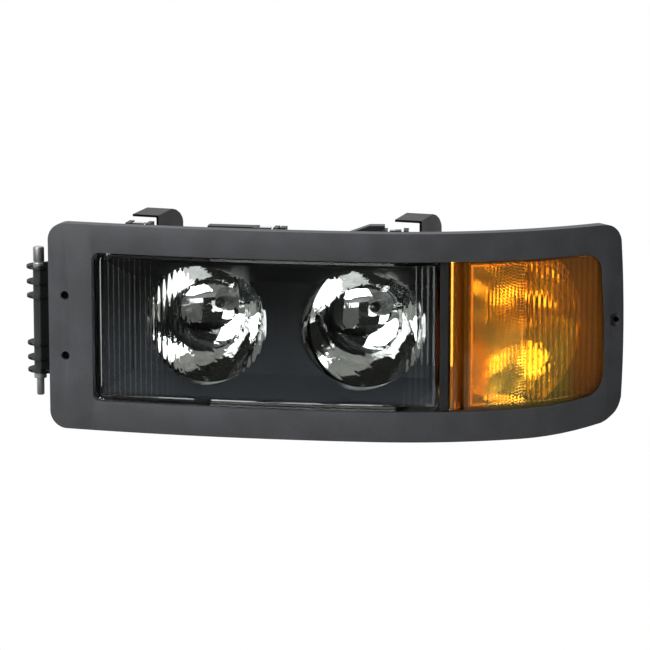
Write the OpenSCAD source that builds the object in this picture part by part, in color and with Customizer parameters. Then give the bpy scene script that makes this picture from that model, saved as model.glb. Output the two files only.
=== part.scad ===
// Truck headlight for the left side: a grey frame that swings on a hinge pin, a fluted glass lens
// over two tilting reflectors, and an amber indicator wrapped round the outer corner.
// The lamp faces -Y and its outer side is +X. The origin is on the hinge axis, at the underside
// of the pin's collar. Lengths are in millimetres.

/* [Front curve] */
// Radius of the nearly flat inner part of the front
flat_r = 1599.1; // [1590:0.1:1610]
// Radius of the outer part, which wraps round the corner
wrap_r = 389.957; // [388:0.001:392]
// Sideways distance between the centres of these two arcs
wrap_shift = 253.215; // [252.5:0.001:253.5]

/* [Hinge] */
// Distance from the hinge axis to the frame's inner edge
hinge_gap = 18.1; // [17.6:0.1:19]
// Distance from the frame's front face back to the hinge axis
hinge_back = 20; // [20:0.5:21]
// Diameter of the hinge pin in its barrel
pin_d = 9; // [8.8:0.1:9.2]
// Diameter of the pin below its collar
tail_d = 7.8; // [6.8:0.1:8]
// Diameter of the pin's knurled head
pin_head_d = 11.3; // [11:0.1:12]
// Height of the pin's knurled head
pin_head_h = 19.1; // [15:0.1:22]
// Length of the pin below its collar
pin_tail = 17.9; // [15:0.1:22]
// Diameter of the hinge barrel
barrel_d = 12.4; // [12.4:0.1:13]
// Height of the hinge barrel
barrel_h = 109.5; // [107:0.5:109.5]
// Play between the pin and the barrel, on the radius
pin_play = 0.06; // [0.03:0.01:0.1]

/* [Frame] */
// Width of the frame across the front
frame_w = 558.1; // [557.6:0.1:558.6]
// Height of the frame
frame_h = 212.6; // [212:0.1:213]
// Distance from the collar down to the frame's lower edge
frame_drop = 46.9; // [46.5:0.1:47.2]
// Wall thickness of the frame
frame_t = 3; // [2.6:0.1:3.2]
// Depth of the frame's returns behind its face
frame_depth = 14; // [13:0.1:14]
// Height of the bottom strip
strip_h = 30; // [29.8:0.1:30.4]
// Height of the top strip
strip_top = 28.6; // [28.4:0.1:29]
// Width of the strip beside the hinge
strip_in = 46.6; // [46.2:0.1:47]
// Width of the outer strip, seen from the front
strip_out = 16; // [15.8:0.1:16.2]
// Diameter of the holes over the hinge screws
hinge_hole_d = 9; // [8.8:0.1:9.4]
// Width of the notch over the outer fixing screw
fix_notch_w = 8.5; // [8:0.1:8.6]
// Height of that notch
fix_notch_h = 14; // [13:0.1:15]
// Diameter of the outer fixing hole
fix_hole_d = 6.2; // [5.6:0.1:6.4]

/* [Main lens] */
// Width of the glass
lens_w = 348.1; // [347.5:0.1:348.5]
// Thickness of the glass
lens_t = 4; // [3.5:0.1:4]
// How far the glass lies behind the frame's face
lens_recess = 5; // [4.5:0.1:5]
// Width of the divider between glass and indicator
divider_w = 7.6; // [7:0.1:7.6]

/* [Reflectors] */
// Distance between the two reflectors
bowl_pitch = 158.4; // [158:0.1:159]
// Diameter of the round openings in the black bezel
bowl_d = 124; // [122:0.5:124]
// Focal length of the reflectors
focal = 22; // [21.5:0.1:22.5]
// Height of the bulbs above the middle of the openings
bulb_rise = 12; // [11:0.5:12]

/* [Indicator] */
// Width of the amber flange beside the divider
amber_strip = 7.4; // [7:0.1:7.6]
// Width of the groove beside that flange
amber_groove = 5.6; // [5.4:0.1:5.8]
// Thickness of the amber lens
amber_t = 3; // [2.6:0.1:3]
// Focal length of the indicator's reflector
amber_focal = 28; // [27.5:0.1:28.5]

/* [Rear] */
// Wall thickness of the black housing
wall = 2.5; // [2.2:0.1:2.6]
// Inner diameter of the bulb chambers
chamber_d = 84; // [82:1:84]
// Thickness of the bracket sheet
sheet_t = 2.5; // [2:0.1:2.5]
// Diameter of the bail wire
bail_d = 1.8; // [1.6:0.1:1.8]

/* [Hidden] */
$fn = 64;
fine = 720;
gap = 0.3;

// Front curve: centre of each arc, and the point where they join
join_a = asin(wrap_shift / (flat_r - wrap_r));
flat_c = [hinge_gap, flat_r - hinge_back];
join_p = flat_c + flat_r * [sin(join_a), -cos(join_a)];
inward = [-sin(join_a), cos(join_a)];
wrap_c = join_p + wrap_r * inward;
function heading(x) = x < join_p.x ? asin((x - flat_c.x) / flat_r) : asin((x - wrap_c.x) / wrap_r);
function flat_y(x) = flat_c.y - sqrt(pow(flat_r, 2) - pow(x - flat_c.x, 2));
function wrap_y(x) = wrap_c.y - sqrt(pow(wrap_r, 2) - pow(x - wrap_c.x, 2));
function front_y(x) = x < join_p.x ? flat_y(x) : wrap_y(x);
// Where a line square to the flat arc, which is at x when it is d behind that arc, starts on it
function foot_x(x, d) = flat_c.x + (x - flat_c.x) * flat_r / (flat_r - d);

// Outlines in the front view: left, right, bottom, top
low_z = -60;
high_z = 200;
front_most = -60;
back_most = 260;
frame_box = [hinge_gap, hinge_gap + frame_w, -frame_drop, frame_h - frame_drop];
open_box = [frame_box[0] + strip_in, frame_box[1] - strip_out,
    frame_box[2] + strip_h, frame_box[3] - strip_top];
edge_gap = 1;
lens_box = [open_box[0] + edge_gap, open_box[0] + edge_gap + lens_w,
    open_box[2] + edge_gap, open_box[3] - edge_gap];
lens_mid_z = (lens_box[2] + lens_box[3]) / 2;
sweep_x = hinge_gap + 472;
frame_sweep = 290;
sweep_steps = 6;
sweep_lap = 6;
corner_steps = 8;
frame_left_r = 18;
frame_top_r = [4, 4];
frame_low_r = [17, 36];
frame_lean = 0;
open_left_r = 8;
open_top_r = [13, 18];
open_low_r = [14, 26];
open_lean = 2.7;
lean_z = 67;
lens_corner = 8;
flange_w = 8;

// Depths behind the front face, from the glass back to the carrier
skirt_end = 19;
flange_front = 15;
seal_end = 22;
rim_end = 25;
bezel_front = 13.5;
bezel_seat = 24;
bezel_back = 35;
bowl_rim = 42;
rim_t = 3;
plate_t = 3;

// Hinge post: heights of the collar, barrel, washer and head along the pin
collar_d = 13;
collar_h = 5.3;
washer_d = 12.2;
washer_t = 1.9;
barrel_z = collar_h + gap;
washer_z = barrel_z + barrel_h + gap;
head_z = washer_z + washer_t;

// Reflectors, bulbs and carrier
high_x = hinge_gap + 154.3;
low_x = high_x + bowl_pitch;
bowl_z = 63.3;
bulb_z = bowl_z + bulb_rise;
bowl_r = bowl_d / 2 + 0.5;
bowl_t = 2.5;
bowl_edge = 70;
bowl_ear = 6;
bowl_reach = 92;
bowl_rise = pow(bowl_r + bulb_rise, 2) / (4 * focal);
function vertex_y(x) = front_y(x) + bowl_rim / cos(heading(x)) + bowl_rise;
function seat_y(x) = vertex_y(x) + 5;
neck_r = 25;
bulb_hole_r = 13;
glass_r = 5.8;
glass_len = 29;
glass_foot = 2;
sleeve_r = 7.6;
base_len = 19;
disc_r = 15.5;
disc_t = 2.5;
base_r = 9.5;
pivot = [85, bowl_z];
trunnion_r = 4;
ear_off = 51;
ear_screw_r = 1.6;
bail_r = bail_d / 2;
bail_top = 21;
bail_low = -18;
bail_side = 11;
carrier_box = [97.2, 404.8, bowl_z - 69, bowl_z + 69];
lug_x = [100.2, 400.8];
lug_t = 6;
lug_h = 20;

// Levelling rod, straight below the carrier's pivot
rod_x = (high_x + low_x) / 2;
rod_z = 2;
rod_r = 3;
ball_r = 5;
motor_spigot = 10.9;

// Housing: the outer half is deeper, as the front falls back there
house_in = -2;
step_x = 280.2;
back_in = 128;
back_out = 150;
chamber_r = chamber_d / 2;
chamber_wall = 3;
chamber_in_end = 142;
chamber_out_end = 166;
lock_turns = [35, 155, 275];
lock_arc = 25;
lock_lug = 3;
house_top = lens_box[3] - house_in + wall;
clip_x = [106.8, 240.3, 372.8];
screw_x = [83.7, 173, 306, 395.8];
strip_mid = (frame_box[3] + open_box[3]) / 2;
strip_mids = [strip_mid, 2 * lens_mid_z - strip_mid];
bush_in = [67.7, 91.7];
bush_out = [406.8, 415.8];
bush_r = 6;
bush_wall = 3;
boss_r = 5;
screw_r = 2;
screw_len = 12;
screw_tip = 8;
screw_head = [3.8, 2.4];

// Indicator
amber_x0 = lens_box[1] + divider_w + 2.5;
amber_x1 = amber_x0 + amber_strip + amber_groove;
amber_wall = 2.5;
amber_flange = 5;
mirror_t = 2.2;
mirror_r = 130;
amber_bulb = [473.3, 69];
amber_vertex = 162.6;
amber_back = 172;
amber_screw_x = 485.5;
holder_r = 13;

// One of the two arcs of the front, the flat one or the wrapped one: all that is behind it by d, in plan
module arc_behind(wrapped, d) {
    intersection() {
        translate(wrapped ? wrap_c : flat_c) circle(r = (wrapped ? wrap_r : flat_r) - d, $fn = fine);
        plain_rect([wrapped ? 200 : -80, 680, front_most, back_most]);
    }
}

// The side of the join on which that arc is the front, in plan
module arc_side(wrapped) {
    near = join_p + 1.5 * front_most * inward;
    far = join_p + back_most * inward;
    side_x = wrapped ? 680 : -80;
    polygon([near, far, [side_x, far.y], [side_x, near.y]]);
}

module upright() {
    translate([0, 0, low_z]) linear_extrude(high_z - low_z) children();
}

module arc_beyond(wrapped, d) {
    upright() arc_behind(wrapped, d);
}

module arc_layer(wrapped, d0, d1) {
    upright() difference() {
        arc_behind(wrapped, d0);
        arc_behind(wrapped, d1);
    }
}

// The region behind the whole front by d, in plan
module behind(d) {
    near = join_p + front_most * inward;
    far = join_p + back_most * inward;
    intersection() {
        translate(flat_c) circle(r = flat_r - d, $fn = fine);
        polygon([near, far, [-80, far.y], [-80, near.y]]);
    }
    intersection() {
        translate(wrap_c) circle(r = wrap_r - d, $fn = fine);
        polygon([near, [680, near.y], [680, far.y], far]);
    }
}

// A curved layer between two depths behind the front face
module layer(d0, d1) {
    upright() difference() {
        behind(d0);
        behind(d1);
    }
}

// A front-view shape run straight back
module prism(y0 = front_most, y1 = back_most) {
    translate([0, y1, 0]) rotate([90, 0, 0]) linear_extrude(y1 - y0) children();
}

// Children stand on the front face: their -Y looks out of the lamp
module on_front(x, z) {
    translate([x, front_y(x), z]) rotate([0, 0, heading(x)]) children();
}

// The same on the flat arc carried on past the join, for what lies inside the lamp
module on_flat(x, z) {
    translate([x, flat_y(x), z]) rotate([0, 0, asin((x - flat_c.x) / flat_r)]) children();
}

module block(lo, hi) {
    translate(lo) cube(hi - lo);
}

module rod_along_y(at, r, y0, y1) {
    translate([at[0], y1, at[1]]) rotate([90, 0, 0]) cylinder(r = r, h = y1 - y0);
}

module rod_along_x(at, r, x0, x1) {
    translate([x0, at[0], at[1]]) rotate([0, 90, 0]) cylinder(r = r, h = x1 - x0);
}

module plain_rect(box) {
    translate([box[0], box[2]]) square([box[1] - box[0], box[3] - box[2]]);
}

module rounded_rect(box, r, inset = 0) {
    b = [box[0] + inset, box[1] - inset, box[2] + inset, box[3] - inset];
    c = max(r - inset, 1);
    plain_rect([b[0] + c, b[1] - c, b[2], b[3]]);
    plain_rect([b[0], b[1], b[2] + c, b[3] - c]);
    for (x = [b[0] + c, b[1] - c], z = [b[2] + c, b[3] - c]) translate([x, z]) circle(r = c);
}

// The outer end of the frame or of its opening, from x0 on: the lower edge sweeps up, the corners are drawn
// out upwards because the face is seen at a slant there, and the outer edge leans in above lean_z
module swept_end(box, x0, top_r, low_r, lean, sweep, inset) {
    b = [box[0] + inset, box[1] - inset, box[2] + inset, box[3] - inset];
    tr = [top_r[0] - inset, top_r[1] - inset];
    br = [low_r[0] - inset, low_r[1] - inset];
    r = sweep - inset;
    mid = [sweep_x, b[2] + r];
    end_a = asin((b[1] - br.x - mid.x) / r);
    end_p = mid + r * [sin(end_a), -cos(end_a)];
    polygon(concat(
        [[x0, b[2]], [x0, b[3]]],
        [for (i = [0 : corner_steps]) let (a = 90 * i / corner_steps)
            [b[1] - lean + tr.x * (sin(a) - 1), b[3] + tr.y * (cos(a) - 1)]],
        [[b[1], lean_z]],
        [for (i = [corner_steps : -1 : 1]) let (a = end_a + (90 - end_a) * i / corner_steps)
            end_p + [br.x * (sin(a) - sin(end_a)) / (1 - sin(end_a)), br.y * (1 - cos(a) / cos(end_a))]],
        [for (i = [sweep_steps : -1 : 0]) let (a = end_a * i / sweep_steps) mid + r * [sin(a), -cos(a)]]));
}

// That end with a rectangle beside it that has plain round corners
module swept_rect(box, left_r, top_r, low_r, lean, sweep, inset = 0) {
    b = [box[0] + inset, box[1] - inset, box[2] + inset, box[3] - inset];
    r = left_r - inset;
    swept_end(box, sweep_x - sweep_lap, top_r, low_r, lean, sweep, inset);
    plain_rect([b[0] + r, sweep_x, b[2], b[3]]);
    plain_rect([b[0], sweep_x, b[2] + r, b[3] - r]);
    for (z = [b[2] + r, b[3] - r]) translate([b[0] + r, z]) circle(r = r);
}

module frame_shape(inset = 0) {
    swept_rect(frame_box, frame_left_r, frame_top_r, frame_low_r, frame_lean, frame_sweep, inset);
}

module open_shape(inset = 0) {
    swept_rect(open_box, open_left_r, open_top_r, open_low_r, open_lean, frame_sweep - strip_h, inset);
}

module lens_shape(inset = 0) {
    rounded_rect(lens_box, lens_corner, inset);
}

// The part of the opening that the indicator fills, from x0 outwards
module amber_shape(x0, inset = 0) {
    swept_end(open_box, x0, open_top_r, open_low_r, open_lean, frame_sweep - strip_h, inset);
}

// A paraboloid that opens towards -Y, turned from straight steps
module paraboloid(at, vertex, f, r_max) {
    steps = 12;
    translate([at[0], vertex, at[1]]) rotate([90, 0, 0]) rotate_extrude()
        polygon([for (i = [0 : steps]) let (r = r_max * i / steps) [r, r * r / (4 * f)],
            [0, r_max * r_max / (4 * f)]]);
}

// Hinge post, which stays with the vehicle
module hinge_pin() {
    color("#8f9094") {
        chamfer = 0.8;
        r = pin_head_d / 2;
        cylinder(d = pin_d, h = head_z);
        translate([0, 0, -pin_tail]) cylinder(d = tail_d, h = pin_tail + 1);
        translate([0, 0, head_z]) rotate_extrude()
            polygon([[0, 0], [r, 0], [r, pin_head_h - chamfer], [r - chamfer, pin_head_h], [0, pin_head_h]]);
    }
}

module hinge_collar() {
    color("#6d6e72") difference() {
        cylinder(d = collar_d, h = collar_h);
        translate([0, 0, -1]) cylinder(d = pin_d, h = collar_h + 2);
    }
}

module hinge_washer() {
    color("#d8d9dc") translate([0, 0, washer_z]) difference() {
        cylinder(d = washer_d, h = washer_t);
        translate([0, 0, -1]) cylinder(d = pin_d, h = washer_t + 2);
    }
}

// Frame: a curved shell with returns round its outer edge and round the opening
hinge_screw_x = hinge_gap + 17.5;
hinge_screw_z = [29, 91.3];
hinge_screw_r = 2.5;
hinge_bore_r = 2.7;
hinge_head_r = 4.2;
hinge_head_y = [-15.5, -12];
hinge_boss_r = 8;
fix_x = frame_box[1] - 7;
fix_z = 66.8;
fix_floor = front_y(fix_x) + 3;
fix_wall = 3.5;
end_a = heading(frame_box[1]);
end_p = [frame_box[1], front_y(frame_box[1])];

// The outer end is square to the face there, with a bowed edge and a round top corner
end_corner = 21;
end_bow_r = 1140;
end_bow_z = 50;
end_bow_steps = 10;
function end_bow(z) = -pow(z - end_bow_z, 2) / (2 * end_bow_r);

// All that lies outside that end, drawn in by that much
module past_end(by) {
    z = frame_box[3] - end_corner;
    r = end_corner - by;
    mid = [end_bow(z) - end_corner, z];
    translate([end_p.x, end_p.y, 0]) rotate([0, 0, end_a]) prism(-40, 80) polygon(concat(
        [[mid.x - 2, high_z], [mid.x - 2, z + r + 0.4]],
        [for (i = [1 : corner_steps]) let (a = 90 * i / corner_steps) mid + r * [sin(a), cos(a)]],
        [for (i = [1 : end_bow_steps]) let (t = z + (low_z - z) * i / end_bow_steps) [end_bow(t) - by, t]],
        [[100, low_z], [100, high_z]]));
}

module bezel_frame() {
    color("#55565a") for (wrapped = [false, true]) intersection() {
        upright() arc_side(wrapped);
        difference() {
            union() {
                frame_shell(wrapped);
                frame_bosses();
            }
            frame_holes();
            past_end(0);
        }
    }
}

module frame_shell(wrapped) {
    difference() {
        intersection() {
            arc_layer(wrapped, 0, frame_depth);
            prism() difference() {
                frame_shape();
                open_shape();
            }
        }
        difference() {
            intersection() {
                arc_layer(wrapped, frame_t, frame_depth + 1);
                prism() difference() {
                    frame_shape(frame_t);
                    open_shape(-frame_t);
                }
            }
            past_end(frame_t);
        }
    }
}

module frame_holes() {
    for (z = hinge_screw_z) {
        rod_along_y([hinge_screw_x, z], hinge_hole_d / 2, front_most, hinge_head_y[1]);
        rod_along_y([hinge_screw_x, z], hinge_bore_r, front_most, 20);
    }
    for (x = concat(screw_x, amber_screw_x), z = strip_mids) on_front(x, z)
        rod_along_y([0, 0], screw_r + 0.05, screw_tip, 40);
    prism(front_most, fix_floor) fix_notch();
    rod_along_y([fix_x, fix_z], fix_hole_d / 2, front_most, fix_floor + fix_wall + 0.1);
    rod_along_y([fix_x, fix_z], fix_notch_w / 2, fix_floor + fix_wall, back_most);
}

// Posts behind the frame's face that take the screws
module frame_bosses() {
    for (z = hinge_screw_z)
        rod_along_y([hinge_screw_x, z], hinge_boss_r, frame_t / 2 - hinge_back, leaf_front);
    for (x = concat(screw_x, amber_screw_x), z = strip_mids) on_front(x, z)
        rod_along_y([0, 0], boss_r, frame_t / 2, seal_end);
    intersection() {
        arc_beyond(true, frame_t / 2);
        prism(front_most, fix_floor + fix_wall) intersection() {
            fix_notch(frame_t);
            frame_shape(1);
        }
    }
}

// The notch at the frame's outer edge, in the front view
module fix_notch(grow = 0) {
    r = fix_notch_w / 2 + grow;
    reach = (fix_notch_h - fix_notch_w) / 2;
    translate([fix_x, fix_z]) {
        plain_rect([-r, r, -reach, reach]);
        for (s = [-reach, reach]) translate([0, s]) circle(r = r);
    }
}

// Hinge leaf: barrel, web and stiffening ribs in one black moulding
rib_z = [114.6, 99, 84.4, 35.2, 19.9, 6.9];
rib_t = 2.6;
rib_r = 18.3;
leaf_t = 6;
leaf_w = 56;
leaf_z = [9.5, 121.8];
leaf_front = frame_depth - hinge_back;
nut_r = 4.6;
nut_t = 4;

module hinge_leaf() {
    color("#1d1e20") difference() {
        union() {
            translate([0, 0, barrel_z]) cylinder(d = barrel_d, h = barrel_h);
            block([0, leaf_front, leaf_z[0]], [leaf_w, leaf_front + leaf_t, leaf_z[1]]);
            for (z = rib_z) translate([0, 0, z - rib_t / 2]) leaf_rib();
        }
        translate([0, 0, -1]) cylinder(d = pin_d + 2 * pin_play, h = 200);
        translate([0, 0, barrel_z + barrel_h]) cylinder(d = 1.5 * barrel_d, h = 20);
        for (z = hinge_screw_z) rod_along_y([hinge_screw_x, z], hinge_bore_r, -20, 20);
    }
}

module leaf_rib() {
    linear_extrude(rib_t) {
        intersection() {
            translate([2, 10]) circle(r = rib_r);
            plain_rect([-20, 20, -8, 30]);
        }
        polygon([[12, 0], [12, 22], [40, 0]]);
    }
}

module hinge_screws() {
    color("#7b7c80") for (z = hinge_screw_z) {
        rod_along_y([hinge_screw_x, z], hinge_head_r, hinge_head_y[0], hinge_head_y[1]);
        rod_along_y([hinge_screw_x, z], hinge_screw_r, hinge_head_y[1], leaf_front + leaf_t + nut_t + 3);
    }
}

module hinge_nuts() {
    color("#b0b1b5") for (z = hinge_screw_z) difference() {
        translate([hinge_screw_x, leaf_front + leaf_t + nut_t, z]) rotate([90, 0, 0])
            cylinder(r = nut_r, h = nut_t, $fn = 6);
        rod_along_y([hinge_screw_x, z], hinge_screw_r, -20, 20);
    }
}

// Housing: black moulded box, open at the front, with two round bulb chambers at the back
module house_plan(inset) {
    polygon([[50, front_most], [50, back_in - inset], [step_x + inset, back_in - inset],
        [step_x + inset, back_out - inset], [440, back_out - inset], [440, front_most]]);
}

module lamp_housing() {
    color("#242527") difference() {
        union() {
            for (wrapped = [false, true]) intersection() {
                upright() arc_side(wrapped);
                housing_front(wrapped);
            }
            rod_along_y([high_x, bulb_z], chamber_r + chamber_wall, back_in - wall, chamber_in_end);
            rod_along_y([low_x, bulb_z], chamber_r + chamber_wall, back_out - wall, chamber_out_end);
            chamber_lugs(high_x, chamber_in_end);
            chamber_lugs(low_x, chamber_out_end);
            housing_ears();
            clip_towers();
        }
        difference() {
            intersection() {
                prism() lens_shape(house_in);
                upright() house_plan(wall);
            }
            bezel_ledges();
            rod_along_x(pivot, bush_r + bush_wall, bush_in[0] - 10, bush_in[1]);
            rod_along_x(pivot, bush_r + bush_wall, bush_out[0], bush_out[1] + 10);
        }
        rod_along_y([high_x, bulb_z], chamber_r, 60, 200);
        rod_along_y([low_x, bulb_z], chamber_r, 60, 200);
        rod_along_x(pivot, bush_r, bush_in[0], bush_in[1] + 6);
        rod_along_x(pivot, bush_r, bush_out[0] - 6, bush_out[1]);
        rod_along_y([rod_x, rod_z], motor_spigot + 0.1, 100, 160);
        for (x = screw_x, z = strip_mids) on_front(x, z)
            rod_along_y([0, 0], screw_r + 0.2, 10, 40);
        rod_along_y(breather_at, breather_r, 120, 170);
    }
}

// The box of the housing, and the rim that the glass and its seal lie against
module housing_front(wrapped) {
    intersection() {
        arc_beyond(wrapped, seal_end);
        prism() lens_shape(house_in - wall);
        upright() house_plan(0);
    }
    intersection() {
        arc_layer(wrapped, seal_end, rim_end);
        prism() lens_shape(-flange_w);
    }
}

// Short ledges inside the rim, left and right, that carry the black bezel
module bezel_ledges() {
    intersection() {
        arc_layer(false, bezel_seat, bezel_seat + wall);
        prism() difference() {
            lens_shape(house_in - 1);
            lens_shape(7);
            plain_rect([lens_box[0] + 14, lens_box[1] - 14, low_z, high_z]);
        }
    }
}

ear_w = 18;
ear_top = strip_mid + 7 - lens_mid_z;

module housing_ears() {
    for (x = screw_x, side = [0, 1]) on_front(x, lens_mid_z) mirror([0, 0, side])
        difference() {
            block([-ear_w / 2, seal_end, 70], [ear_w / 2, rim_end, ear_top]);
            block([-20, 0, 0], [20, 60, lens_box[3] - house_in - lens_mid_z]);
        }
}

// Pairs of ribs either side of each lens clip, and the flat lugs beside two of them on the roof
tower_top = 165;
tower_off = 10.5;
tower_t = 5;
lug_front = 30;
lug_back = 42;
lug_ends = [[-60, -14], [14, 20]];
slope_ends = [-11, -26, -54];
slope_top = 168.5;

module clip_towers() {
    high = tower_top - lens_mid_z;
    low = house_top - 1 - lens_mid_z;
    for (x = clip_x, side = [0, 1]) on_front(x, lens_mid_z) mirror([0, 0, side])
        for (s = [-1, 1]) translate([s * tower_off, 0, 0])
            block([-tower_t / 2, rim_end - 1, low], [tower_t / 2, 40, high]);
    for (e = lug_ends) on_front(clip_x[1], lens_mid_z)
        block([e[0], lug_front, low], [e[1], lug_back, high - 0.5]);
    on_front(clip_x[2], 0) translate([0, lug_back, 0]) rotate([90, 0, 0]) linear_extrude(lug_back - lug_front)
        polygon([[slope_ends[0], house_top - 1], [slope_ends[0], slope_top], [slope_ends[1], slope_top],
            [slope_ends[2], slope_top - 10], [slope_ends[2], house_top - 1]]);
}

// Three locking lugs round a bulb chamber
module chamber_lugs(x, end) {
    translate([x, end - 8, bulb_z]) rotate([90, 0, 0]) for (a = lock_turns) rotate([0, 0, a])
        rotate_extrude(angle = lock_arc) translate([chamber_r + 2, 0]) square(lock_lug);
}

// Glass lens: a dish with a flange behind the frame
module main_lens() {
    color("#c9d2d6", 0.45) for (wrapped = [false, true]) intersection() {
        upright() arc_side(wrapped);
        difference() {
            union() {
                intersection() {
                    arc_layer(wrapped, lens_recess, skirt_end);
                    prism() lens_shape();
                }
                intersection() {
                    arc_layer(wrapped, flange_front, skirt_end);
                    prism() lens_shape(-flange_w);
                }
            }
            intersection() {
                arc_beyond(wrapped, lens_recess + lens_t);
                prism() lens_shape(lens_t);
            }
        }
    }
}

module lens_seal() {
    color("#18191a") intersection() {
        layer(skirt_end, seal_end - 0.1);
        prism() difference() {
            lens_shape(0.5 - flange_w);
            lens_shape(5.5 - flange_w);
        }
    }
}

// Black bezel: a trough whose walls slope in to two round openings
bezel_t = 2;
bezel_in = 5;
trough_in = 8;
trough_slope = 0.95;
trough_left = 27;
trough_right = 10;

module trough(grow) {
    d1 = bezel_back + grow;
    rise = trough_slope * (bezel_back - bezel_front);
    lo = lens_box[2] + trough_in - grow;
    hi = lens_box[3] - trough_in + grow;
    x0 = lens_box[0] + trough_in - grow;
    x1 = lens_box[1] - trough_in + grow;
    d0 = bezel_front + grow / 4;
    slope = [[d0, lo], [d1, lo + rise], [d1, hi - rise], [d0, hi]];
    mouth = grow > 0 ? [] : [[0, hi], [0, lo]];
    intersection() {
        translate([flat_c.x, flat_c.y, 0]) rotate([0, 0, -90])
            rotate_extrude(angle = 20, $fn = fine) translate([flat_r, 0]) mirror([1, 0])
                polygon(concat(slope, mouth));
        upright() polygon([
            [x0, front_most], [x0, front_y(x0) + bezel_front], [x0 + trough_left, front_y(x0) + d1 + 4],
            [x1 - trough_right, front_y(x1) + d1 + 4], [x1, front_y(x1) + bezel_front], [x1, front_most]]);
    }
}

module inner_bezel() {
    color("#141516") difference() {
        union() {
            trough(bezel_t);
            intersection() {
                arc_layer(false, bezel_front, bezel_front + bezel_t);
                prism() lens_shape(bezel_in);
            }
            intersection() {
                arc_layer(false, bezel_front, bezel_seat);
                prism() difference() {
                    lens_shape(bezel_in);
                    lens_shape(bezel_in + bezel_t);
                }
            }
            intersection() {
                arc_layer(false, bezel_front + bezel_t, bezel_back + 2 * bezel_t);
                union() {
                    rod_along_y([high_x, bowl_z], bowl_d / 2 + bezel_t, front_most, 120);
                    rod_along_y([low_x, bowl_z], bowl_d / 2 + bezel_t, front_most, 120);
                }
            }
        }
        trough(0);
        rod_along_y([high_x, bowl_z], bowl_d / 2, front_most, 120);
        rod_along_y([low_x, bowl_z], bowl_d / 2, front_most, 120);
    }
}

// Spring-steel clips that hold the glass to the housing
module lens_clips() {
    clip_t = 1.2;
    half = 6;
    lip_front = flange_front - clip_t - 0.2;
    lip_back = rim_end + 0.2;
    top = lens_box[3] + flange_w + 0.4;
    low = open_box[3] + frame_t + 1;
    color("#c9cacd") for (x = clip_x, side = [0, 1]) on_front(x, lens_mid_z) mirror([0, 0, side])
        translate([0, 0, -lens_mid_z]) {
            block([-half, lip_front, low], [half, lip_front + clip_t, top + clip_t]);
            block([-half, lip_front, top], [half, lip_back + clip_t, top + clip_t]);
            block([-half, lip_back, low], [half, lip_back + clip_t, tower_top]);
            block([-half, lip_back, tower_top - clip_t], [half, lip_back + 7, tower_top]);
        }
}

module divider_strip() {
    x0 = lens_box[1] + 0.5;
    color("#1b1c1d") intersection() {
        layer(lens_recess, flange_front);
        prism() plain_rect([x0, x0 + divider_w, lens_box[2], lens_box[3]]);
    }
}

module housing_screws() {
    color("#9a9b9f") for (x = screw_x, z = strip_mids) on_front(x, z)
        pan_screw(rim_end, screw_len);
}

// A screw driven towards -Y, its head seated at y
module pan_screw(seat, length) {
    rod_along_y([0, 0], screw_r, seat - length, seat);
    rod_along_y([0, 0], screw_head[0], seat, seat + screw_head[1]);
}

// Amber lens: fluted face, skirt, rear flange, and a grooved strip beside the divider
module indicator_lens() {
    d0 = lens_recess;
    d1 = lens_recess + amber_t;
    color("#e08a12", 0.8) {
        difference() {
            union() {
                intersection() {
                    arc_layer(true, d0, skirt_end);
                    prism() amber_shape(amber_x1, edge_gap);
                }
                intersection() {
                    arc_layer(true, skirt_end - 3, skirt_end);
                    prism() amber_shape(amber_x0, -amber_flange);
                }
            }
            intersection() {
                arc_beyond(true, d1);
                prism() amber_shape(amber_x1 + amber_t, edge_gap + amber_wall);
            }
        }
        intersection() {
            arc_layer(true, d0, d1);
            prism() strip_shape(amber_x0, amber_x0 + amber_strip);
        }
        intersection() {
            arc_layer(true, d0, skirt_end);
            prism() strip_shape(amber_x0 + amber_strip - amber_wall, amber_x0 + amber_strip);
        }
    }
}

module strip_shape(x0, x1) {
    plain_rect([x0, x1, open_box[2] + edge_gap, open_box[3] - edge_gap]);
}

module indicator_seal() {
    color("#18191a") intersection() {
        arc_layer(true, skirt_end, skirt_end + 2);
        prism() difference() {
            amber_shape(amber_x0 + 1, 0.5 - amber_flange);
            amber_shape(amber_x1 - 4, 0);
        }
    }
}

module indicator_housing() {
    front = skirt_end + 2;
    wall_x = amber_x1 - 11;
    color("#242527") difference() {
        union() {
            intersection() {
                arc_beyond(true, front);
                prism(front_most, amber_back + wall) amber_shape(wall_x, -3);
            }
            intersection() {
                arc_layer(true, front, front + 3);
                prism() amber_shape(amber_x0 + 0.5, -amber_flange);
            }
            for (side = [0, 1]) on_front(amber_screw_x, lens_mid_z) mirror([0, 0, side]) difference() {
                block([-ear_w / 2, seal_end, 70], [ear_w / 2, rim_end, ear_top]);
                block([-20, 0, 0], [20, 60, 79]);
            }
        }
        difference() {
            prism(front_most, amber_back) amber_shape(wall_x + wall, -0.5);
            difference() {
                rod_along_y(amber_bulb, 24, 100, 200);
                rod_along_y(amber_bulb, 19, 100, 200);
                paraboloid(amber_bulb, amber_vertex + mirror_t, amber_focal, mirror_r);
            }
        }
        rod_along_y(amber_bulb, holder_r + 0.4, 160, 190);
        holder_notches(40);
        for (z = strip_mids) on_front(amber_screw_x, z)
            rod_along_y([0, 0], screw_r + 0.2, 10, 40);
    }
}

// Two openings in the rim of the bulb hole, or the lugs that pass through them
module holder_sectors(turn, half, r, y0, y1) {
    translate([amber_bulb[0], y1, amber_bulb[1]]) rotate([90, 0, 0]) for (a = [0, 180])
        rotate([0, 0, a + turn - half]) rotate_extrude(angle = 2 * half)
            translate([holder_r - 1, 0]) square([r - holder_r + 1, y1 - y0]);
}

module holder_notches(turn) {
    holder_sectors(turn, 14, 16, amber_back - 1, amber_back + wall + 1);
}

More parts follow.
